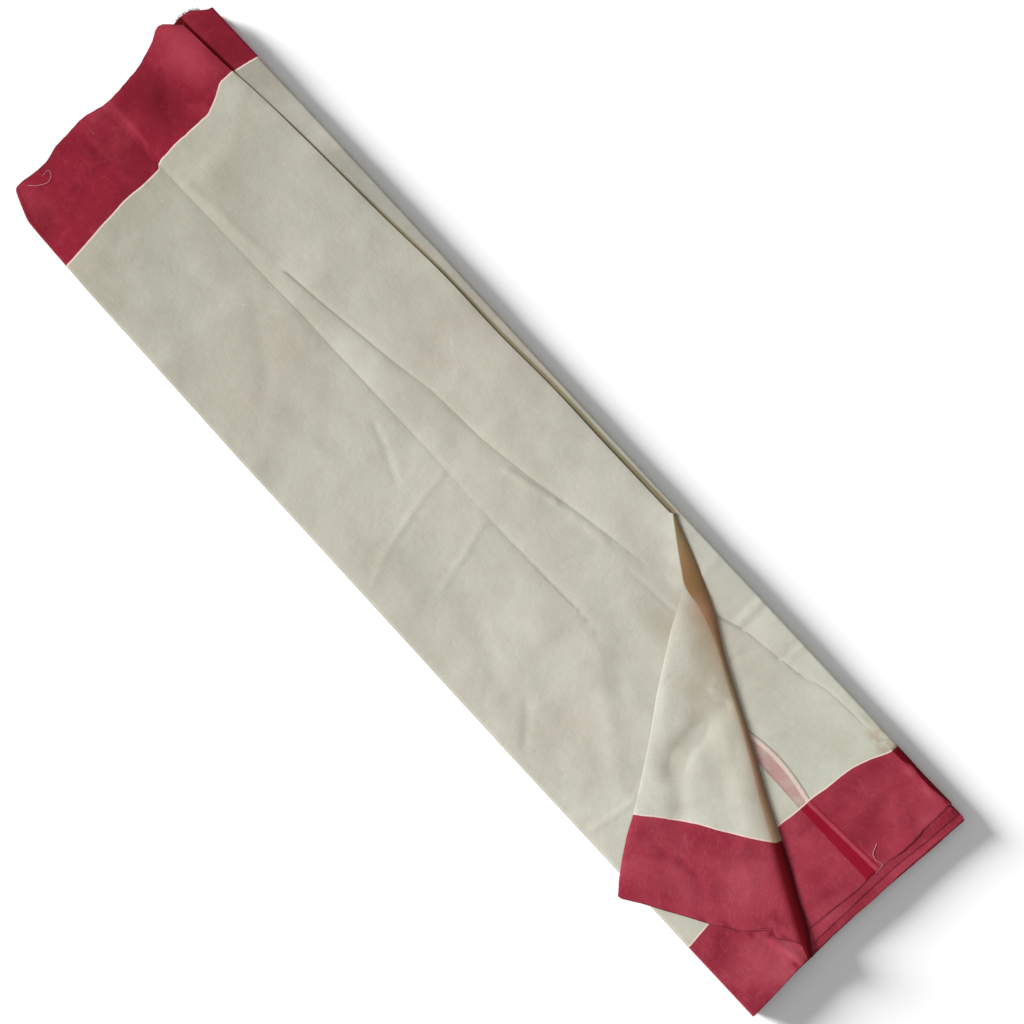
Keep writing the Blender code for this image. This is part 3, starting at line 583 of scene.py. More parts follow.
# Soft patches: along, across, half length, half width, and how much lighter (above zero) or darker it
# is. Some are yellowed and worn places in the cloth; others, most of those on the turned-back corner,
# are painted light and shade, lighter along lit crests and darker beside creases.
topPatches = (
    (-550.0, 103.0, 34.0, 20.0, 0.9), (-535.0, 50.0, 30.0, 26.0, -0.9), (-571.0, -5.0, 8.0, 18.0, 0.5),
    (-532.0, 9.5, 34.0, 3.2, 0.6), (-522.0, -30.0, 34.0, 3.0, 0.4), (-470.0, -40.0, 22.0, 24.0, -0.5),
    (-555.0, -121.0, 30.0, 14.0, 0.4), (-568.0, -60.0, 8.0, 8.0, -0.6), (-510.0, -20.0, 22.0, 30.0, -0.4),
    (226.0, 66.0, 28.0, 15.0, -0.7), (162.0, 136.0, 10.0, 7.0, 0.6), (516.0, -121.0, 9.0, 7.0, -0.7),
    (177.0, 122.0, 11.0, 7.0, 0.7), (200.0, 106.0, 11.0, 7.0, 0.6),
    (505.0, -140.0, 12.0, 5.0, -0.5), (557.0, -142.0, 12.0, 6.0, -0.7), (581.0, -88.0, 14.0, 14.0, 0.6),
    (568.0, -67.0, 12.0, 4.5, 1.3), (584.0, -72.5, 6.0, 3.5, -1.3), (528.6, -86.0, 4.0, 4.0, -1.2),
    (543.0, -70.5, 5.0, 5.0, -1.2), (515.0, -94.0, 9.0, 3.0, -0.8), (545.0, -105.0, 20.0, 16.0, 0.3),
)
flapPatches = (
    (374.0, -98.0, 8.0, 10.0, -0.6), (401.0, -97.0, 8.0, 7.0, -0.7), (406.0, -154.0, 16.0, 12.0, -0.9),
    (448.0, -104.0, 20.0, 12.0, 0.4), (480.0, -52.0, 32.0, 30.0, 0.6), (395.0, -128.0, 14.0, 14.0, 0.3),
    (431.0, -146.5, 6.0, 3.0, -1.0), (452.0, -133.0, 9.0, 2.2, -0.9), (486.0, -113.0, 10.0, 2.2, -1.0),
    (504.0, -98.0, 7.0, 2.6, -1.2), (534.0, -70.0, 7.0, 2.6, -1.1), (557.0, -62.0, 9.0, 2.6, -1.1),
    (246.0, 96.0, 13.0, 11.0, -1.0), (270.0, 85.0, 15.0, 14.0, -1.0), (293.0, 72.0, 16.0, 16.0, -0.8),
    (300.0, 44.0, 17.0, 15.0, -0.9), (320.0, 26.0, 13.0, 16.0, -0.7), (328.0, -4.0, 12.0, 16.0, -0.6),
    (342.0, -34.0, 14.0, 14.0, -0.6), (378.0, -52.0, 14.0, 10.0, -0.5), (380.0, 0.0, 90.0, 50.0, -0.3),
)
foldLength = float(np.hypot(*(foldEnd - foldStart)))
foldAlong = (foldEnd - foldStart) / foldLength
foldOff = np.array([-foldAlong[1], foldAlong[0]])


def foldPoint(along, off):
    return foldStart + np.multiply.outer(along, foldAlong) + np.asarray(off)[..., None] * foldOff


def foldSection(along):
    return [smooth(foldSections, along, value=column) for column in (1, 2, 3)]


# Length of cloth round the fold's half ellipse.
def foldBend(along):
    crest, out, height = foldSection(along)
    return math.pi * np.sqrt(((out - crest) ** 2 + (height / 2) ** 2) / 2)


def unfolded(along, off):
    return foldPoint(along, 2 * foldSection(along)[0] + foldBend(along) - off)


# Relief of the top cloth: short waves and creases, never so deep that it meets the cloth below.
def topRelief(x, y):
    creases = creased(topCreases, x, y) + pressed(centreCrease, x, y)[0] + pressed(slantCrease, x, y)[0]
    relief = waves(topWaves, x, y) + topCloth["pressDepth"] * creases
    return np.maximum(relief, topCloth["deepest"])


# Height of the top cloth: base, long waves and relief, raised beside the start of the loose fold, and
# drooping at its free edge and where it overhangs the layers below at the head.
def topHeight(x, y):
    free = straight(freeSide, x) - y
    droop = topCloth["freeDroop"] * np.exp(-np.maximum(free, 0.0) / topCloth["freeReach"])
    droop *= np.clip((160.0 - x) / 40.0, 0.0, 1.0)
    fromStart = np.stack([x, y], -1) - foldStart
    w, off = fromStart @ foldAlong, fromStart @ foldOff
    beside = np.maximum(foldSection(np.clip(w, 0.0, foldLength))[0] - off, 0.0)
    window = np.clip((w + 12.0) / 20.0, 0.0, 1.0) * np.clip((125.0 - w) / 50.0, 0.0, 1.0)
    over = np.maximum(straight(stackHeadEdge, y) - x, 0.0)
    return (
        topCloth["base"]
        + swell(x, y)
        + topRelief(x, y)
        - droop
        + topCloth["foldRise"] * window * np.exp(-beside / 8.0)
        - topCloth["headDroop"] * over**2
    )


def buildTop(material):
    rows = topCloth["rows"]
    radius = topCloth["sideRoll"]
    # The corner's woven line and selvedge, laid flat, go on from the cloth's own.
    footLine = (*topFootLine, *unfolded(*np.array(cornerLine).T)[:, ::-1])
    footEdge = (*topFootEdge, *unfolded(*np.array(cornerSelvedge).T)[:, ::-1])

    def fromHead(y, share):
        head = smooth(topHeadEdge, y) + ragged(y, 0.4)
        return head * (1 - share) + straight(topFootEdge, y) * share

    def place(x, y):
        lines = straight(topHeadLine, y), straight(footLine, y), straight(footEdge, y)
        return loomPlace(x, fromHead(y, 0), *lines)

    # Rows run from selvedge to selvedge; each ends at the free side or where the fold begins.
    share = np.linspace(0, 1, rows)
    reach = np.linspace(0, foldLength, 400)
    crestLine = foldPoint(reach, foldSection(reach)[0])
    rightEnd = np.full(rows, 120.0)
    for _ in range(60):
        x = fromHead(rightEnd, share)
        onFold = x > crestLine[0, 0]
        target = np.where(onFold, np.interp(x, crestLine[:, 0], crestLine[:, 1]), smooth(freeSide, x))
        rightEnd = 0.5 * rightEnd + 0.5 * target
    x = fromHead(rightEnd, share)
    firstFold = int(np.argmax(x > crestLine[0, 0]))

    turnLength = radius * math.pi * 0.92
    flatStart = straight(leftSide, x) + radius
    width = rightEnd - flatStart
    # Columns follow the two long creases and crowd towards them; past the fold's start the creases'
    # columns keep their shares of the width.
    held = np.minimum(x, foldStart[0])
    shares = []
    for crease, most in ((centreCrease, 0.6), (slantCrease, 0.85)):
        line = straight(crease, held) - (straight(leftSide, held) + radius)
        shares.append(np.minimum(line / np.interp(held, x, width), most)[:, None])
    rolled = np.arange(topCloth["rollColumns"]) / topCloth["rollColumns"]
    leftPart = 1 - (1 - np.linspace(0, 1, topCloth["leftColumns"] + 1)[:-1]) ** 1.5
    turn = np.linspace(0, 1, topCloth["middleColumns"] + 1)[:-1]
    middlePart = 0.5 * turn + 0.25 * (1 - np.cos(math.pi * turn))
    rightPart = np.linspace(0, 1, topCloth["rightColumns"]) ** 1.5
    inner = np.concatenate([
        shares[0] * leftPart, shares[0] + (shares[1] - shares[0]) * middlePart,
        shares[1] + (1 - shares[1]) * rightPart,
    ], 1)
    across = np.concatenate([
        (flatStart - turnLength)[:, None] + turnLength * rolled, flatStart[:, None] + width[:, None] * inner
    ], 1)
    columns = across.shape[1]
    along = fromHead(across, share[:, None])
    level = topHeight(along, np.maximum(across, -146.0))
    y, z = turnedDown(across, level, straight(leftSide, along), -1, radius)
    main = np.stack([along, y, z], -1)
    mainUv = np.stack([across, place(along, across)], -1)
    # Painted shade: a dark line along each long crease, and a darker band where the left side rolls down.
    lineShade = pressed(centreCrease, along, across)[1] + pressed(slantCrease, along, across)[1]
    lineShade = np.maximum(lineShade, 0.6 * np.clip((flatStart[:, None] - 0.6 - across) / 2.4, 0.0, 1.0))

    # The corner's rows start at the same points and go round the fold and back over the cloth.
    starts = main[firstFold:, -1, :2] - foldStart
    w = starts @ foldAlong
    crest, out, height = foldSection(w)
    bend = foldBend(w)
    end = np.maximum(crest - straight(cornerEnd, w), 0.6)
    foldColumns, flapColumns = topCloth["foldColumns"], topCloth["flapColumns"]
    turnShare = np.arange(1, foldColumns + 1) / foldColumns
    flapShare = np.arange(1, flapColumns + 1) / flapColumns
    past = np.concatenate([bend[:, None] * turnShare, bend[:, None] + end[:, None] * flapShare], 1)
    turn = np.clip(past / bend[:, None], 0, 1) * math.pi
    beyond = np.maximum(past - bend[:, None], 0)
    off = crest[:, None] + (out - crest)[:, None] * np.sin(turn) - beyond
    px, py = np.moveaxis(foldPoint(w[:, None] + 0 * off, off), -1, 0)
    settle = beyond / topCloth["flapSettle"]
    rest = topCloth["flapRest"]
    stand = rest + (height[:, None] - rest) * (1 + settle) * np.exp(-settle)
    lift = np.where(beyond > 0, stand, height[:, None] * (1 - np.cos(turn)) / 2)
    over = np.maximum(straight(leftSide, px) - py, 0.0)
    flapCrease = creased(flapCreases, px, py) * np.clip(beyond / 8.0, 0, 1)
    ridges = topCloth["pressDepth"] * np.maximum(creased(topCreases, px, py), 0.0)
    ground = topCloth["base"] + swell(px, py) + waves(topWaves, px, py) + ridges
    opening = np.clip((w - 70.0) / 30.0, 0.0, 1.0)[:, None]
    fromEnd = (end[:, None] - beyond) / topCloth["flapRoundReach"]
    rounding = topCloth["flapRound"] * opening * np.exp(-fromEnd) * (beyond > 0)
    sag = (topCloth["foldSag"] + height[:, None] / 2) * np.sin(turn) ** 2 * (beyond == 0)
    raised = np.maximum(lift + flapCrease - rounding, np.where(beyond > 0, 0.6, -9.0))
    pz = ground + raised - sag - topCloth["droop"] * over**2
    blend = np.clip(past / bend[:, None] * 3, 0, 1)
    pz = np.where(past < bend[:, None], z[firstFold:, -1:] * (1 - blend) + pz * blend, pz)
    flat = foldPoint(w[:, None] + 0 * past, crest[:, None] + past)
    corner = np.stack([px, py, pz], -1)
    cornerUv = np.stack([flat[..., 1], place(flat[..., 0], flat[..., 1])], -1)

    # Painted warm shade where the fold turns away from the light: on the turn itself, on the narrow
    # strip at its start, and as a soft wedge over the border. A lighter painted shade falls on the corner
    # beside it.
    wedge, soften, fade = (
        straight(topCloth[key], w)[:, None] for key in ("shadeReach", "shadeSoft", "shadeFade")
    )
    shadeAndDarkStrip = np.clip((wedge + soften - beyond) / soften, 0.0, 1.0)
    shadeAndDarkStrip = np.maximum(shadeAndDarkStrip, topCloth["shadeBeside"] * np.exp(-beyond / fade) * opening)
    shadeAndDarkStrip *= np.clip(past / bend[:, None] * 4 - 0.4, 0.0, 1.0)
    mainNumbers = np.arange(rows * columns).reshape(rows, columns)
    cornerNumbers = rows * columns + np.arange(shadeAndDarkStrip.size).reshape(shadeAndDarkStrip.shape)
    cornerNumbers = np.concatenate([mainNumbers[firstFold:, -1:], cornerNumbers], 1)
    faces = np.concatenate([gridFaces(mainNumbers), gridFaces(cornerNumbers)])
    points = np.concatenate([main.reshape(-1, 3), corner.reshape(-1, 3)])
    uv = np.concatenate([mainUv.reshape(-1, 2), cornerUv.reshape(-1, 2)])
    none = np.zeros(main.shape[:2])
    values = {
        key: np.concatenate([onMain.ravel(), onCorner.ravel()])
        for key, onMain, onCorner in (
            ("shadeAndDarkStrip", none, shadeAndDarkStrip),
            ("foldPlace", none, w[:, None] / foldLength + 0 * shadeAndDarkStrip),
            ("lineShade", lineShade, 0 * shadeAndDarkStrip),
            ("tone", toned(topPatches, along, across), toned(flapPatches, px, py)),
        )
    }
    sheet = addSheet("top_cloth", points, uv, faces, values)
    sheet.data.materials.append(material)
    thicken(sheet, topCloth["thickness"])
    return sheet


# The cloth below it, which has the end stripe.
underCloth = {
    "rows": 300,
    "leftColumns": 60,
    "grooveSteps": (-2.0, -1.0, 0.0, 0.8, 1.6, 2.4, 3.4, 4.8),
    "rightColumns": 12,
    "rollColumns": 12,
    "thickness": 0.5,
    "base": 11.9,
    "footDroop": 0.6,
    "roll": 2.6,
    # Along the cloth: how far the groove's painted shade and the right edge's dark strip reach in.
    "shadeReach": ((-508.0, 3.6), (-498.0, 1.2), (-420.0, 1.6), (-290.0, 3.6), (-100.0, 4.6), (-33.0, 5.2),
                  (146.0, 6.0)),
    "darkStrip": ((480.0, 0.0), (487.0, 8.0), (505.0, 7.0), (515.0, 2.5), (522.0, 4.5), (545.0, 5.0),
                  (562.0, 2.0), (575.0, 1.0)),
}
# Selvedges and woven lines: across, along.
underHeadEdge = (
    (-139.0, -562.0), (0.0, -565.0), (100.0, -580.0), (122.3, -585.9), (138.1, -583.3),
    (152.8, -572.8), (170.0, -571.0),
)
underHeadLine = ((-139.0, -485.0), (128.0, -506.6), (158.0, -500.4))
underFootLine = (
    (-139.0, 484.0), (11.3, 465.0), (39.5, 467.3), (54.4, 467.4), (82.6, 470.2), (108.8, 472.4),
    (128.6, 477.6), (150.8, 486.8), (163.0, 488.2),
)
underFootEdge = (
    (-139.0, 574.0), (0.0, 568.7), (24.0, 571.2), (48.8, 570.0), (74.0, 571.6), (100.0, 573.5),
    (128.0, 571.2), (161.0, 571.0),
)
# The long oblique crease, in the same columns as the top cloth's. It starts as the line of the groove
# beside the free side.
obliqueCrease = (
    (-600.0, 121.0, 0.0, 3.0, 0.0), (-507.7, 127.4, 0.0, 3.0, 0.0), (-486.7, 129.7, 0.0, 3.0, 0.0),
    (-410.0, 134.9, 0.0, 3.0, 0.0), (-291.4, 140.2, 0.0, 3.0, 0.0), (-203.2, 145.6, 0.0, 3.0, 0.0),
    (-111.8, 146.6, 0.0, 3.0, 0.0), (-33.1, 149.9, 0.0, 3.0, 0.0), (146.0, 151.7, 0.0, 3.0, 0.0),
    (200.0, 132.0, 0.0, 3.0, 0.0), (252.0, 113.0, 0.0, 2.0, 0.0), (259.0, 115.0, -0.9, 2.0, 0.7),
    (288.2, 125.5, -1.1, 3.4, 0.7), (319.7, 129.7, -1.0, 3.4, 0.5), (358.6, 136.0, -1.2, 3.6, 0.7),
    (393.2, 146.5, -0.9, 3.4, 0.5), (426.8, 149.6, -0.8, 3.4, 0.4), (468.0, 152.0, -0.3, 2.4, 0.1),
    (500.0, 152.0, 0.0, 2.4, 0.0), (600.0, 152.0, 0.0, 2.4, 0.0),
)
# Short creases, in the same columns as the top cloth's.
underCreases = (
    (271.0, 158.0, 272.5, 129.0, -0.7, 3.4), (280.0, 130.0, 279.0, 158.0, 0.9, 3.6),
    (288.0, 128.0, 287.5, 156.0, -0.6, 3.4), (337.0, 157.0, 338.5, 134.0, -0.6, 3.2),
    (344.0, 135.0, 343.0, 156.0, 0.6, 3.2), (301.8, 91.9, 309.6, 115.4, -0.7, 2.8),
    (214.0, 158.0, 219.0, 120.0, 0.6, 4.0), (240.0, 122.0, 262.0, 140.0, -0.5, 5.0),
    (330.0, 60.0, 400.0, 90.0, 0.6, 12.0), (480.0, 80.0, 560.0, 110.0, 0.6, 10.0),
    (497.0, 60.0, 560.0, 74.0, -0.6, 8.0), (520.0, 130.0, 566.0, 112.0, 0.5, 7.0),
)
# Soft patches of lighter and darker cloth, as on the top cloth; the darker one at the head beside the free
# side is painted shade.
underPatches = (
    (-540.0, 142.0, 60.0, 30.0, -0.6), (528.0, 86.0, 16.0, 16.0, -0.8), (559.0, 71.0, 11.0, 12.0, -0.6),
    (540.0, 107.0, 12.0, 10.0, 0.5), (532.0, 6.0, 11.0, 11.0, -0.6), (486.0, 129.0, 12.0, 25.0, -0.7),
    (300.0, 140.0, 22.0, 14.0, 0.6), (352.0, 112.0, 34.0, 14.0, -0.4), (445.0, 118.0, 18.0, 20.0, -0.4),
    (508.0, 140.0, 20.0, 20.0, -0.4), (530.0, 118.0, 22.0, 16.0, -0.3), (568.0, 130.0, 12.0, 12.0, 0.4),
    (498.0, 161.5, 7.0, 2.6, -1.3), (512.0, 160.5, 9.0, 3.0, -1.5), (528.0, 161.0, 9.0, 3.2, -1.5),
    (542.0, 161.5, 7.0, 2.6, -1.4), (555.0, 161.0, 6.0, 2.8, -1.4), (566.0, 160.0, 5.0, 3.0, -1.3),
    (516.0, 152.0, 7.0, 3.0, 0.9), (544.0, 152.0, 9.0, 3.0, 0.8), (446.0, 157.0, 10.0, 3.0, -0.8),
)


# Height of the under cloth: base, long waves, its creases, and a last stretch that lies down on the
# layer below at the foot.
def underHeight(x, y):
    return (
        underCloth["base"] + swell(x, y) + creased(underCreases, x, y)
        + pressed(obliqueCrease, x, y)[0] - underCloth["footDroop"] * np.clip((x - 545.0) / 25.0, 0.0, 1.0)
    )


def buildUnder(material):
    rows, rolled = underCloth["rows"], underCloth["rollColumns"]
    radius = underCloth["roll"]
    share = np.linspace(0, 1, rows)[:, None]
    x = -570.0 + share * 1142.0
    left = straight(leftSide, x) + 5.0
    start = straight(rightSide, x) - radius
    # Columns follow the groove and then the oblique crease.
    groove = straight(obliqueCrease, x) + np.array(underCloth["grooveSteps"])
    leftPart = np.linspace(0, 1, underCloth["leftColumns"] + 1)[:-1] ** 0.85
    rightPart = np.linspace(0, 1, underCloth["rightColumns"] + 1)[1:]
    across = np.concatenate([
        left + (groove[:, :1] - left) * leftPart,
        groove,
        groove[:, -1:] + (start - groove[:, -1:]) * rightPart,
        start + radius * math.pi * 0.95 * np.arange(1, rolled + 1) / rolled,
    ], 1)
    columns = across.shape[1]
    head = smooth(underHeadEdge, across) + ragged(across, 1.9)
    foot = smooth(underFootEdge, across) + ragged(across, 3.2)
    along = head * (1 - share) + foot * share
    y, z = turnedDown(across, underHeight(along, across), straight(rightSide, along), 1, radius)
    place = loomPlace(along, head, smooth(underHeadLine, across), smooth(underFootLine, across), foot)
    # Painted shade in the groove beside the top cloth's free side, wider towards the fold, and the dark
    # strip down the border's right edge.
    gap = across - straight(freeSide, np.minimum(along, 146.0))
    reach = straight(underCloth["shadeReach"], along)
    shadeAndDarkStrip = np.clip((reach + 0.8 - gap) / 1.6, 0.0, 1.0) * np.clip((160.0 - along) / 14.0, 0.0, 1.0)
    strip = straight(rightSide, along) - straight(underCloth["darkStrip"], along)
    shadeAndDarkStrip = np.maximum(shadeAndDarkStrip, np.clip(across - strip + 0.5, 0.0, 1.0) * (along > 484.0))
    # Painted shade along the oblique crease's line.
    lineShade = pressed(obliqueCrease, along, across)[1]
    uv = np.stack([across, place], -1).reshape(-1, 2)
    numbers = np.arange(rows * columns).reshape(rows, columns)
    values = {
        "shadeAndDarkStrip": shadeAndDarkStrip, "foldPlace": np.zeros(shadeAndDarkStrip.shape), "lineShade": lineShade,
        "tone": toned(underPatches, along, across),
    }
    points = np.stack([along, y, z], -1).reshape(-1, 3)
    sheet = addSheet("under_cloth", points, uv, gridFaces(numbers), values)
    sheet.data.materials.append(material)
    thicken(sheet, underCloth["thickness"])
    return sheet


# The hidden layers.
stackCloth = {
    "rows": 150,
    "layers": 13,
    "layerPoints": 8,
    "bendPoints": 7,
    "thickness": 0.42,
    "bottom": 0.3,
    "top": 10.7,
    "bulge": 0.75,
    "footPress": 0.36,
    "panel": 290.0,
    "bendLength": 1.4,
    "sideIn": 0.9,
    "headLine": -484.0,
    "footLine": 488.0,
}
stackFootEdge = (
    (-145.0, 592.5), (-60.0, 590.5), (-20.0, 589.4), (20.0, 590.6), (60.0, 590.0), (100.0, 592.0),
    (131.0, 593.4), (158.0, 594.4), (163.0, 593.0),
)
# The hidden layers from the bottom up: how far each sits in at the head, the foot, left and right.
layerInsets = (
    (1.0, 2.0, 1.6, 0.8), (3.0, 1.0, 0.8, 1.8), (0.4, 1.6, 1.2, 0.6), (4.2, 1.1, 0.5, 1.0),
    (2.0, 2.4, 0.9, 0.4), (1.2, 1.4, 0.4, 1.6), (3.6, 2.2, 1.6, 0.7), (0.8, 1.2, 0.9, 4.4),
    (2.6, 1.6, 1.2, 4.2), (1.6, 0.6, 4.6, 4.8), (4.4, 0.2, 4.9, 4.3), (2.2, 0.9, 5.0, 5.0),
    (3.0, 10.0, 5.2, 4.6),
)
stackPatches = (
    (577.0, 160.5, 6.0, 2.4, -1.3), (587.0, 160.0, 5.0, 2.6, -1.5), (585.0, 148.0, 5.0, 6.0, 0.6),
    (578.0, 120.0, 3.0, 6.0, -1.2), (580.0, 104.0, 2.0, 9.0, -0.9), (585.0, 90.0, 4.0, 14.0, 0.5),
    (577.0, 70.0, 3.0, 7.0, -1.1), (583.0, 52.0, 3.0, 8.0, -0.7), (580.0, 26.0, 5.0, 9.0, -0.9),
)


# The hidden layers: one cloth folded to and fro. Its section across goes left and right at rising
# heights, joined by rounded bends, and each layer ends a little short of or past its neighbours.
def buildStack(material):
    rows, layers = stackCloth["rows"], stackCloth["layers"]
    step = (stackCloth["top"] - stackCloth["bottom"]) / (layers - 1)
    insets = np.array(layerInsets)
    ways, heights, sides, ends = [], [], [], []
    length = 0.0
    lengths = []
    for layer in range(layers):
        rightward = layer % 2 == 0
        shares = np.linspace(0, 1, stackCloth["layerPoints"])
        for share in shares:
            ways.append(share if rightward else 1 - share)
            heights.append(stackCloth["bottom"] + step * layer)
            sides.append(0.0)
            ends.append(float(layer))
            lengths.append(length + stackCloth["panel"] * share)
        length += stackCloth["panel"]
        if layer == layers - 1:
            break
        for point in range(1, stackCloth["bendPoints"] + 1):
            turn = math.pi * point / (stackCloth["bendPoints"] + 1)
            ways.append(1.0 if rightward else 0.0)
            heights.append(stackCloth["bottom"] + step * (layer + 0.5 - 0.5 * math.cos(turn)))
            sides.append(stackCloth["bulge"] * math.sin(turn))
            ends.append(layer + point / (stackCloth["bendPoints"] + 1))
            lengths.append(length + stackCloth["bendLength"] * point / stackCloth["bendPoints"])
        length += stackCloth["bendLength"]
    ways, heights, sides, ends = (np.array(part) for part in (ways, heights, sides, ends))
    share = np.linspace(0, 1, rows)[:, None]
    headIn, footIn, leftIn, rightIn = (np.interp(ends, np.arange(layers), column) for column in insets.T)
    x = -570.0 + share * 1160.0
    left = straight(leftSide, x) + leftIn + stackCloth["sideIn"]
    # Past the under cloth's foot the upper layers reach out to the side.
    rightIn = rightIn * (1 - 0.8 * np.clip((x - 575.0) / 8.0, 0.0, 1.0))
    right = straight(rightSide, x) - rightIn - stackCloth["sideIn"]
    wobble = 0.35 * np.sin(x / 37.0 + ends * 2.1) + 0.25 * np.sin(x / 13.0 + ends * 4.7)
    sides = sides + wobble * ((ways < 0.02) | (ways > 0.98))
    y = left + (right - left) * ways + np.where(ways > 0.5, 1, -1) * sides
    head = straight(stackHeadEdge, y) + headIn + 0.8 * np.sin(y / 21.0 + ends * 1.7)
    foot = straight(stackFootEdge, y) - footIn + 0.8 * np.sin(y / 26.0 + ends * 2.3)
    along = head + (foot - head) * share
    part = (heights - stackCloth["bottom"]) / (stackCloth["top"] - stackCloth["bottom"])
    z = heights + swell(along, y) * part + 0 * share
    # The uppermost layer's foot lies pressed on the next one.
    pressedFoot = np.clip((along - 572.0) / 8.0, 0.0, 1.0) * np.clip(ends - (layers - 2), 0.0, 1.0)
    z -= stackCloth["footPress"] * pressedFoot
    place = loomPlace(along, head, stackCloth["headLine"], stackCloth["footLine"], foot)
    uv = np.stack([np.array(lengths) + 0 * share, place], -1).reshape(-1, 2)
    numbers = np.arange(rows * len(ways)).reshape(rows, len(ways))
    points = np.stack([along, y, z], -1).reshape(-1, 3)
    values = {"tone": toned(stackPatches, along, y)}
    sheet = addSheet("stack_cloth", points, uv, gridFaces(numbers), values)
    sheet.data.materials.append(material)
    thicken(sheet, stackCloth["thickness"])
    return sheet


# Pale curled ends at the foot beside the end stripe and at the head corner: along, across. Then frayed
# ends: how many, and from where to where they start along, start across, and reach.
threadCotton = {
    "sides": 5,
    "curlRadius": 0.3,
    "frayRadius": 0.2,
    "fringeRadius": 0.26,
    "footCurl": ((548.5, 76.5), (550.0, 73.5), (554.0, 66.0), (561.0, 64.0), (568.5, 66.0), (570.5, 60.5),
                 (570.8, 54.5)),
    "headCurl": ((-564.0, -112.0), (-557.0, -105.0), (-551.8, -94.0), (-556.0, -86.0), (-561.5, -86.0),
                 (-561.0, -94.0)),
    "footEnds": {"count": 34, "along": (570.0, 572.5), "across": (20.0, 158.0), "length": (1.5, 4.0)},
    "headEnds": {"count": 70, "across": (120.0, 146.0), "length": (1.0, 3.4)},
    "sideEnds": {"count": 26, "along": (480.0, 568.0), "across": (161.0, 162.2), "length": (1.0, 2.6)},
}


# Loose ends of thread: rings swept along a path, radius falling off towards the tip.
def threadMesh(paths, radius):
    points, faces = [], []
    sides = threadCotton["sides"]
    for path in paths:
        path = np.asarray(path, float)
        ways = np.gradient(path, axis=0)
        ways /= np.linalg.norm(ways, axis=1)[:, None]
        aside = np.cross(ways, (0.0, 0.0, 1.0))
        aside /= np.maximum(np.linalg.norm(aside, axis=1), 1e-9)[:, None]
        above = np.cross(aside, ways)
        turn = 2 * math.pi * np.arange(sides) / sides
        width = radius * (1 - 0.5 * np.linspace(0, 1, len(path)))[:, None, None]
        around = np.cos(turn)[:, None] * aside[:, None] + np.sin(turn)[:, None] * above[:, None]
        ring = path[:, None] + width * around
        first = sum(len(part) for part in points)
        numbers = first + np.arange(len(path) * sides).reshape(len(path), sides)
        numbers = np.concatenate([numbers, numbers[:, :1]], 1)
        points.append(ring.reshape(-1, 3))
        faces.append(gridFaces(numbers))
    return np.concatenate(points), np.concatenate(faces)


def buildThreads(paleThread, redThread, darkThread):
    rng = np.random.default_rng(11)
    curls, frayed, fringe = [], [], []
    for key, heightOf in (("footCurl", underHeight), ("headCurl", topHeight)):
        curl = [(index, *point) for index, point in enumerate(threadCotton[key])]
        t = np.linspace(0, len(curl) - 1, 48)
        x, y = smooth(curl, t), smooth(curl, t, value=2)
        curls.append(np.stack([x, y, heightOf(x, y) + 0.75 + 0.5 * np.sin(t)], -1))
    t = np.linspace(0, 1, 6)
    # Short frayed ends along the under cloth's foot.
    ends = threadCotton["footEnds"]
    for _ in range(ends["count"]):
        x, y = rng.uniform(*ends["along"]), rng.uniform(*ends["across"])
        length, lean = rng.uniform(*ends["length"]), rng.uniform(-0.7, 0.7)
        bent = rng.uniform(-1.0, 1.0) * t**2
        z = float(underHeight(np.array(x), np.array(y)))
        frayed.append(np.stack([x + length * t, y + lean * length * t + bent, z + 0.1 - 0.6 * t], -1))
    # A dark fringe on its head selvedge, in the corner beside the top cloth: real frayed ends, their dark
    # colour partly painted shade of the shadow among them.
    ends = threadCotton["headEnds"]
    for _ in range(ends["count"]):
        y = rng.uniform(*ends["across"])
        x = float(smooth(underHeadEdge, np.array(y)))
        length, lean = rng.uniform(*ends["length"]), rng.uniform(-1.6, 1.6)
        z = float(underHeight(np.array(x), np.array(y)))
        fringe.append(np.stack([x - length * t, y + lean * t, z + 0.2 - 0.8 * t], -1))
    # And a few down its right side.
    ends = threadCotton["sideEnds"]
    for _ in range(ends["count"]):
        y, x = rng.uniform(*ends["across"]), rng.uniform(*ends["along"])
        length, z = rng.uniform(*ends["length"]), 9.5 + rng.uniform(-1, 1.5)
        frayed.append(np.stack([x + length * t, y + 0.6 * t, z + 0.3 * t], -1))
    made = []
    for name, lines, radius, material in (
        ("loose_threads", curls, threadCotton["curlRadius"], paleThread),
        ("frayed_threads", frayed, threadCotton["frayRadius"], redThread),
        ("head_fringe", fringe, threadCotton["fringeRadius"], darkThread),
    ):
        points, faces = threadMesh(lines, radius)
        threads = addSheet(name, points, np.zeros((len(points), 2)), faces, {})
        threads.data.materials.append(material)
        made.append(threads)
    return made


# Fine hand-spun cotton thread: undyed weft that took a little of the dye, crimson warp, and dark ends
# at the head whose colour is partly painted shade.
def threadMaterial(name, code):
    material = bpy.data.materials.new(name)
    material.use_nodes = True
    shader = material.node_tree.nodes["Principled BSDF"]
    shader.inputs["Base Color"].default_value = linear(code)
    shader.inputs["Roughness"].default_value = 0.9
    return material


print("making the cloth")
faceCotton = cotton("handloom_cotton", cottonLooks, cottonLooks["topCream"])
endCotton = cotton("handloom_cotton_end", cottonLooks, cottonLooks["underCreamShaded"], endStripe=True)
top = buildTop(faceCotton)
under = buildUnder(endCotton)
stack = buildStack(faceCotton)
curls, frayed, fringe = buildThreads(
    threadMaterial("spun_cotton_thread", "#CF9C9E"), threadMaterial("dyed_cotton_thread", "#9A4650"),
    threadMaterial("shaded_fringe_thread", "#5C4A46"),
)

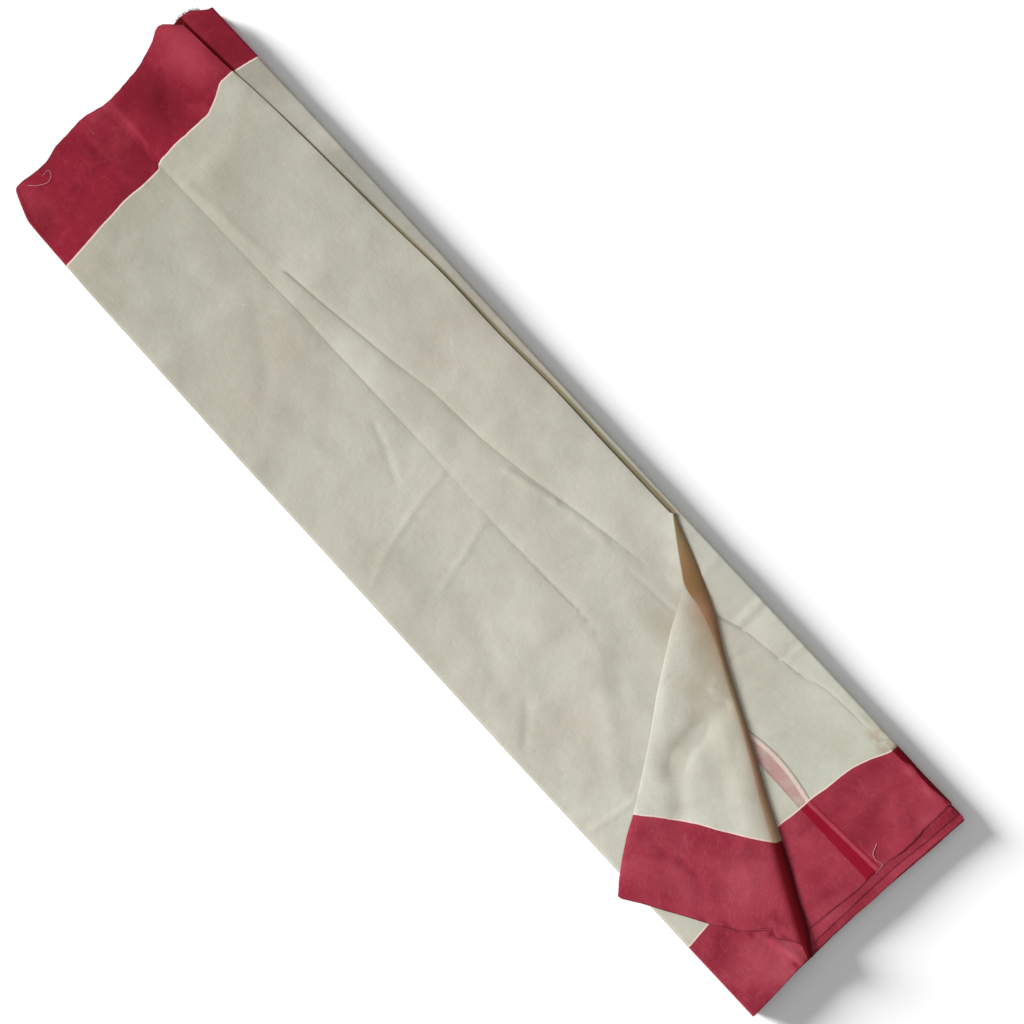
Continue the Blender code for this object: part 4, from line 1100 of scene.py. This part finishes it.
print("holding it to the part")
for sheet in (top, under, stack, curls, frayed, fringe):
    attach(sheet, "root")
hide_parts("top_field", "top_head_border", "top_foot_border")
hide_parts("under_field", "under_head_border", "under_foot_border")
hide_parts("stack_field", "stack_head_border", "stack_foot_border")

# Floor, light and camera. The floor has a low soft light of its own, for its long soft shadow.
print("light and camera")
stage = {
    "floor": 0.94,
    "world": 0.4,
    "turn": 47.4,
    "distance": 2.4,
    "view": 1.0815,
    "place": (0.0326, 0.0301),
    "paperHalf": 6.0,
    "key": {"strength": 4.3, "height": 30.0, "from": 172.0, "softness": 24.0},
    # Higher and softer for the cloth, low for the floor, so that its soft shadow is long.
    "floorKey": {"strength": 20.0, "height": 7.2, "from": 155.0, "softness": 19.0},
}


def sun(name, looks, lit):
    lamp = bpy.data.lights.new(name, "SUN")
    lamp.energy = looks["strength"]
    lamp.angle = math.radians(looks["softness"])
    made = bpy.data.objects.new(name, lamp)
    turn = math.radians(looks["from"] + stage["turn"])
    made.rotation_euler = (0.0, math.radians(90 - looks["height"]), turn)
    bpy.context.scene.collection.objects.link(made)
    group = bpy.data.collections.new(name + "_lit")
    for piece in lit:
        group.objects.link(piece)
    made.light_linking.receiver_collection = group


def buildStage():
    half = stage["paperHalf"]
    corners = [(-half, -half, 0), (half, -half, 0), (half, half, 0), (-half, half, 0)]
    mesh = bpy.data.meshes.new("floor")
    mesh.from_pydata(corners, [], [(0, 1, 2, 3)])
    floor = bpy.data.objects.new("floor", mesh)
    bpy.context.scene.collection.objects.link(floor)
    paper = bpy.data.materials.new("white_paper")
    paper.use_nodes = True
    shader = paper.node_tree.nodes["Principled BSDF"]
    shader.inputs["Base Color"].default_value = (stage["floor"],) * 3 + (1.0,)
    shader.inputs["Roughness"].default_value = 0.9
    mesh.materials.append(paper)

    world = bpy.data.worlds.new("soft_white")
    world.use_nodes = True
    world.node_tree.nodes["Background"].inputs[0].default_value = (1.0, 1.0, 1.0, 1.0)
    world.node_tree.nodes["Background"].inputs[1].default_value = stage["world"]
    bpy.context.scene.world = world
    sun("key", stage["key"], (top, under, stack, curls, frayed, fringe))
    sun("floor_key", stage["floorKey"], (floor,))

    camera = bpy.data.cameras.new("camera")
    cameraObject = bpy.data.objects.new("camera", camera)
    camera.sensor_width = 36.0
    camera.lens = 36.0 * stage["distance"] / stage["view"]
    cameraObject.location = (*stage["place"], stage["distance"])
    cameraObject.rotation_euler = (0.0, 0.0, math.radians(stage["turn"]))
    bpy.context.scene.collection.objects.link(cameraObject)
    bpy.context.scene.camera = cameraObject
    bpy.context.scene.view_settings.view_transform = "Standard"


buildStage()
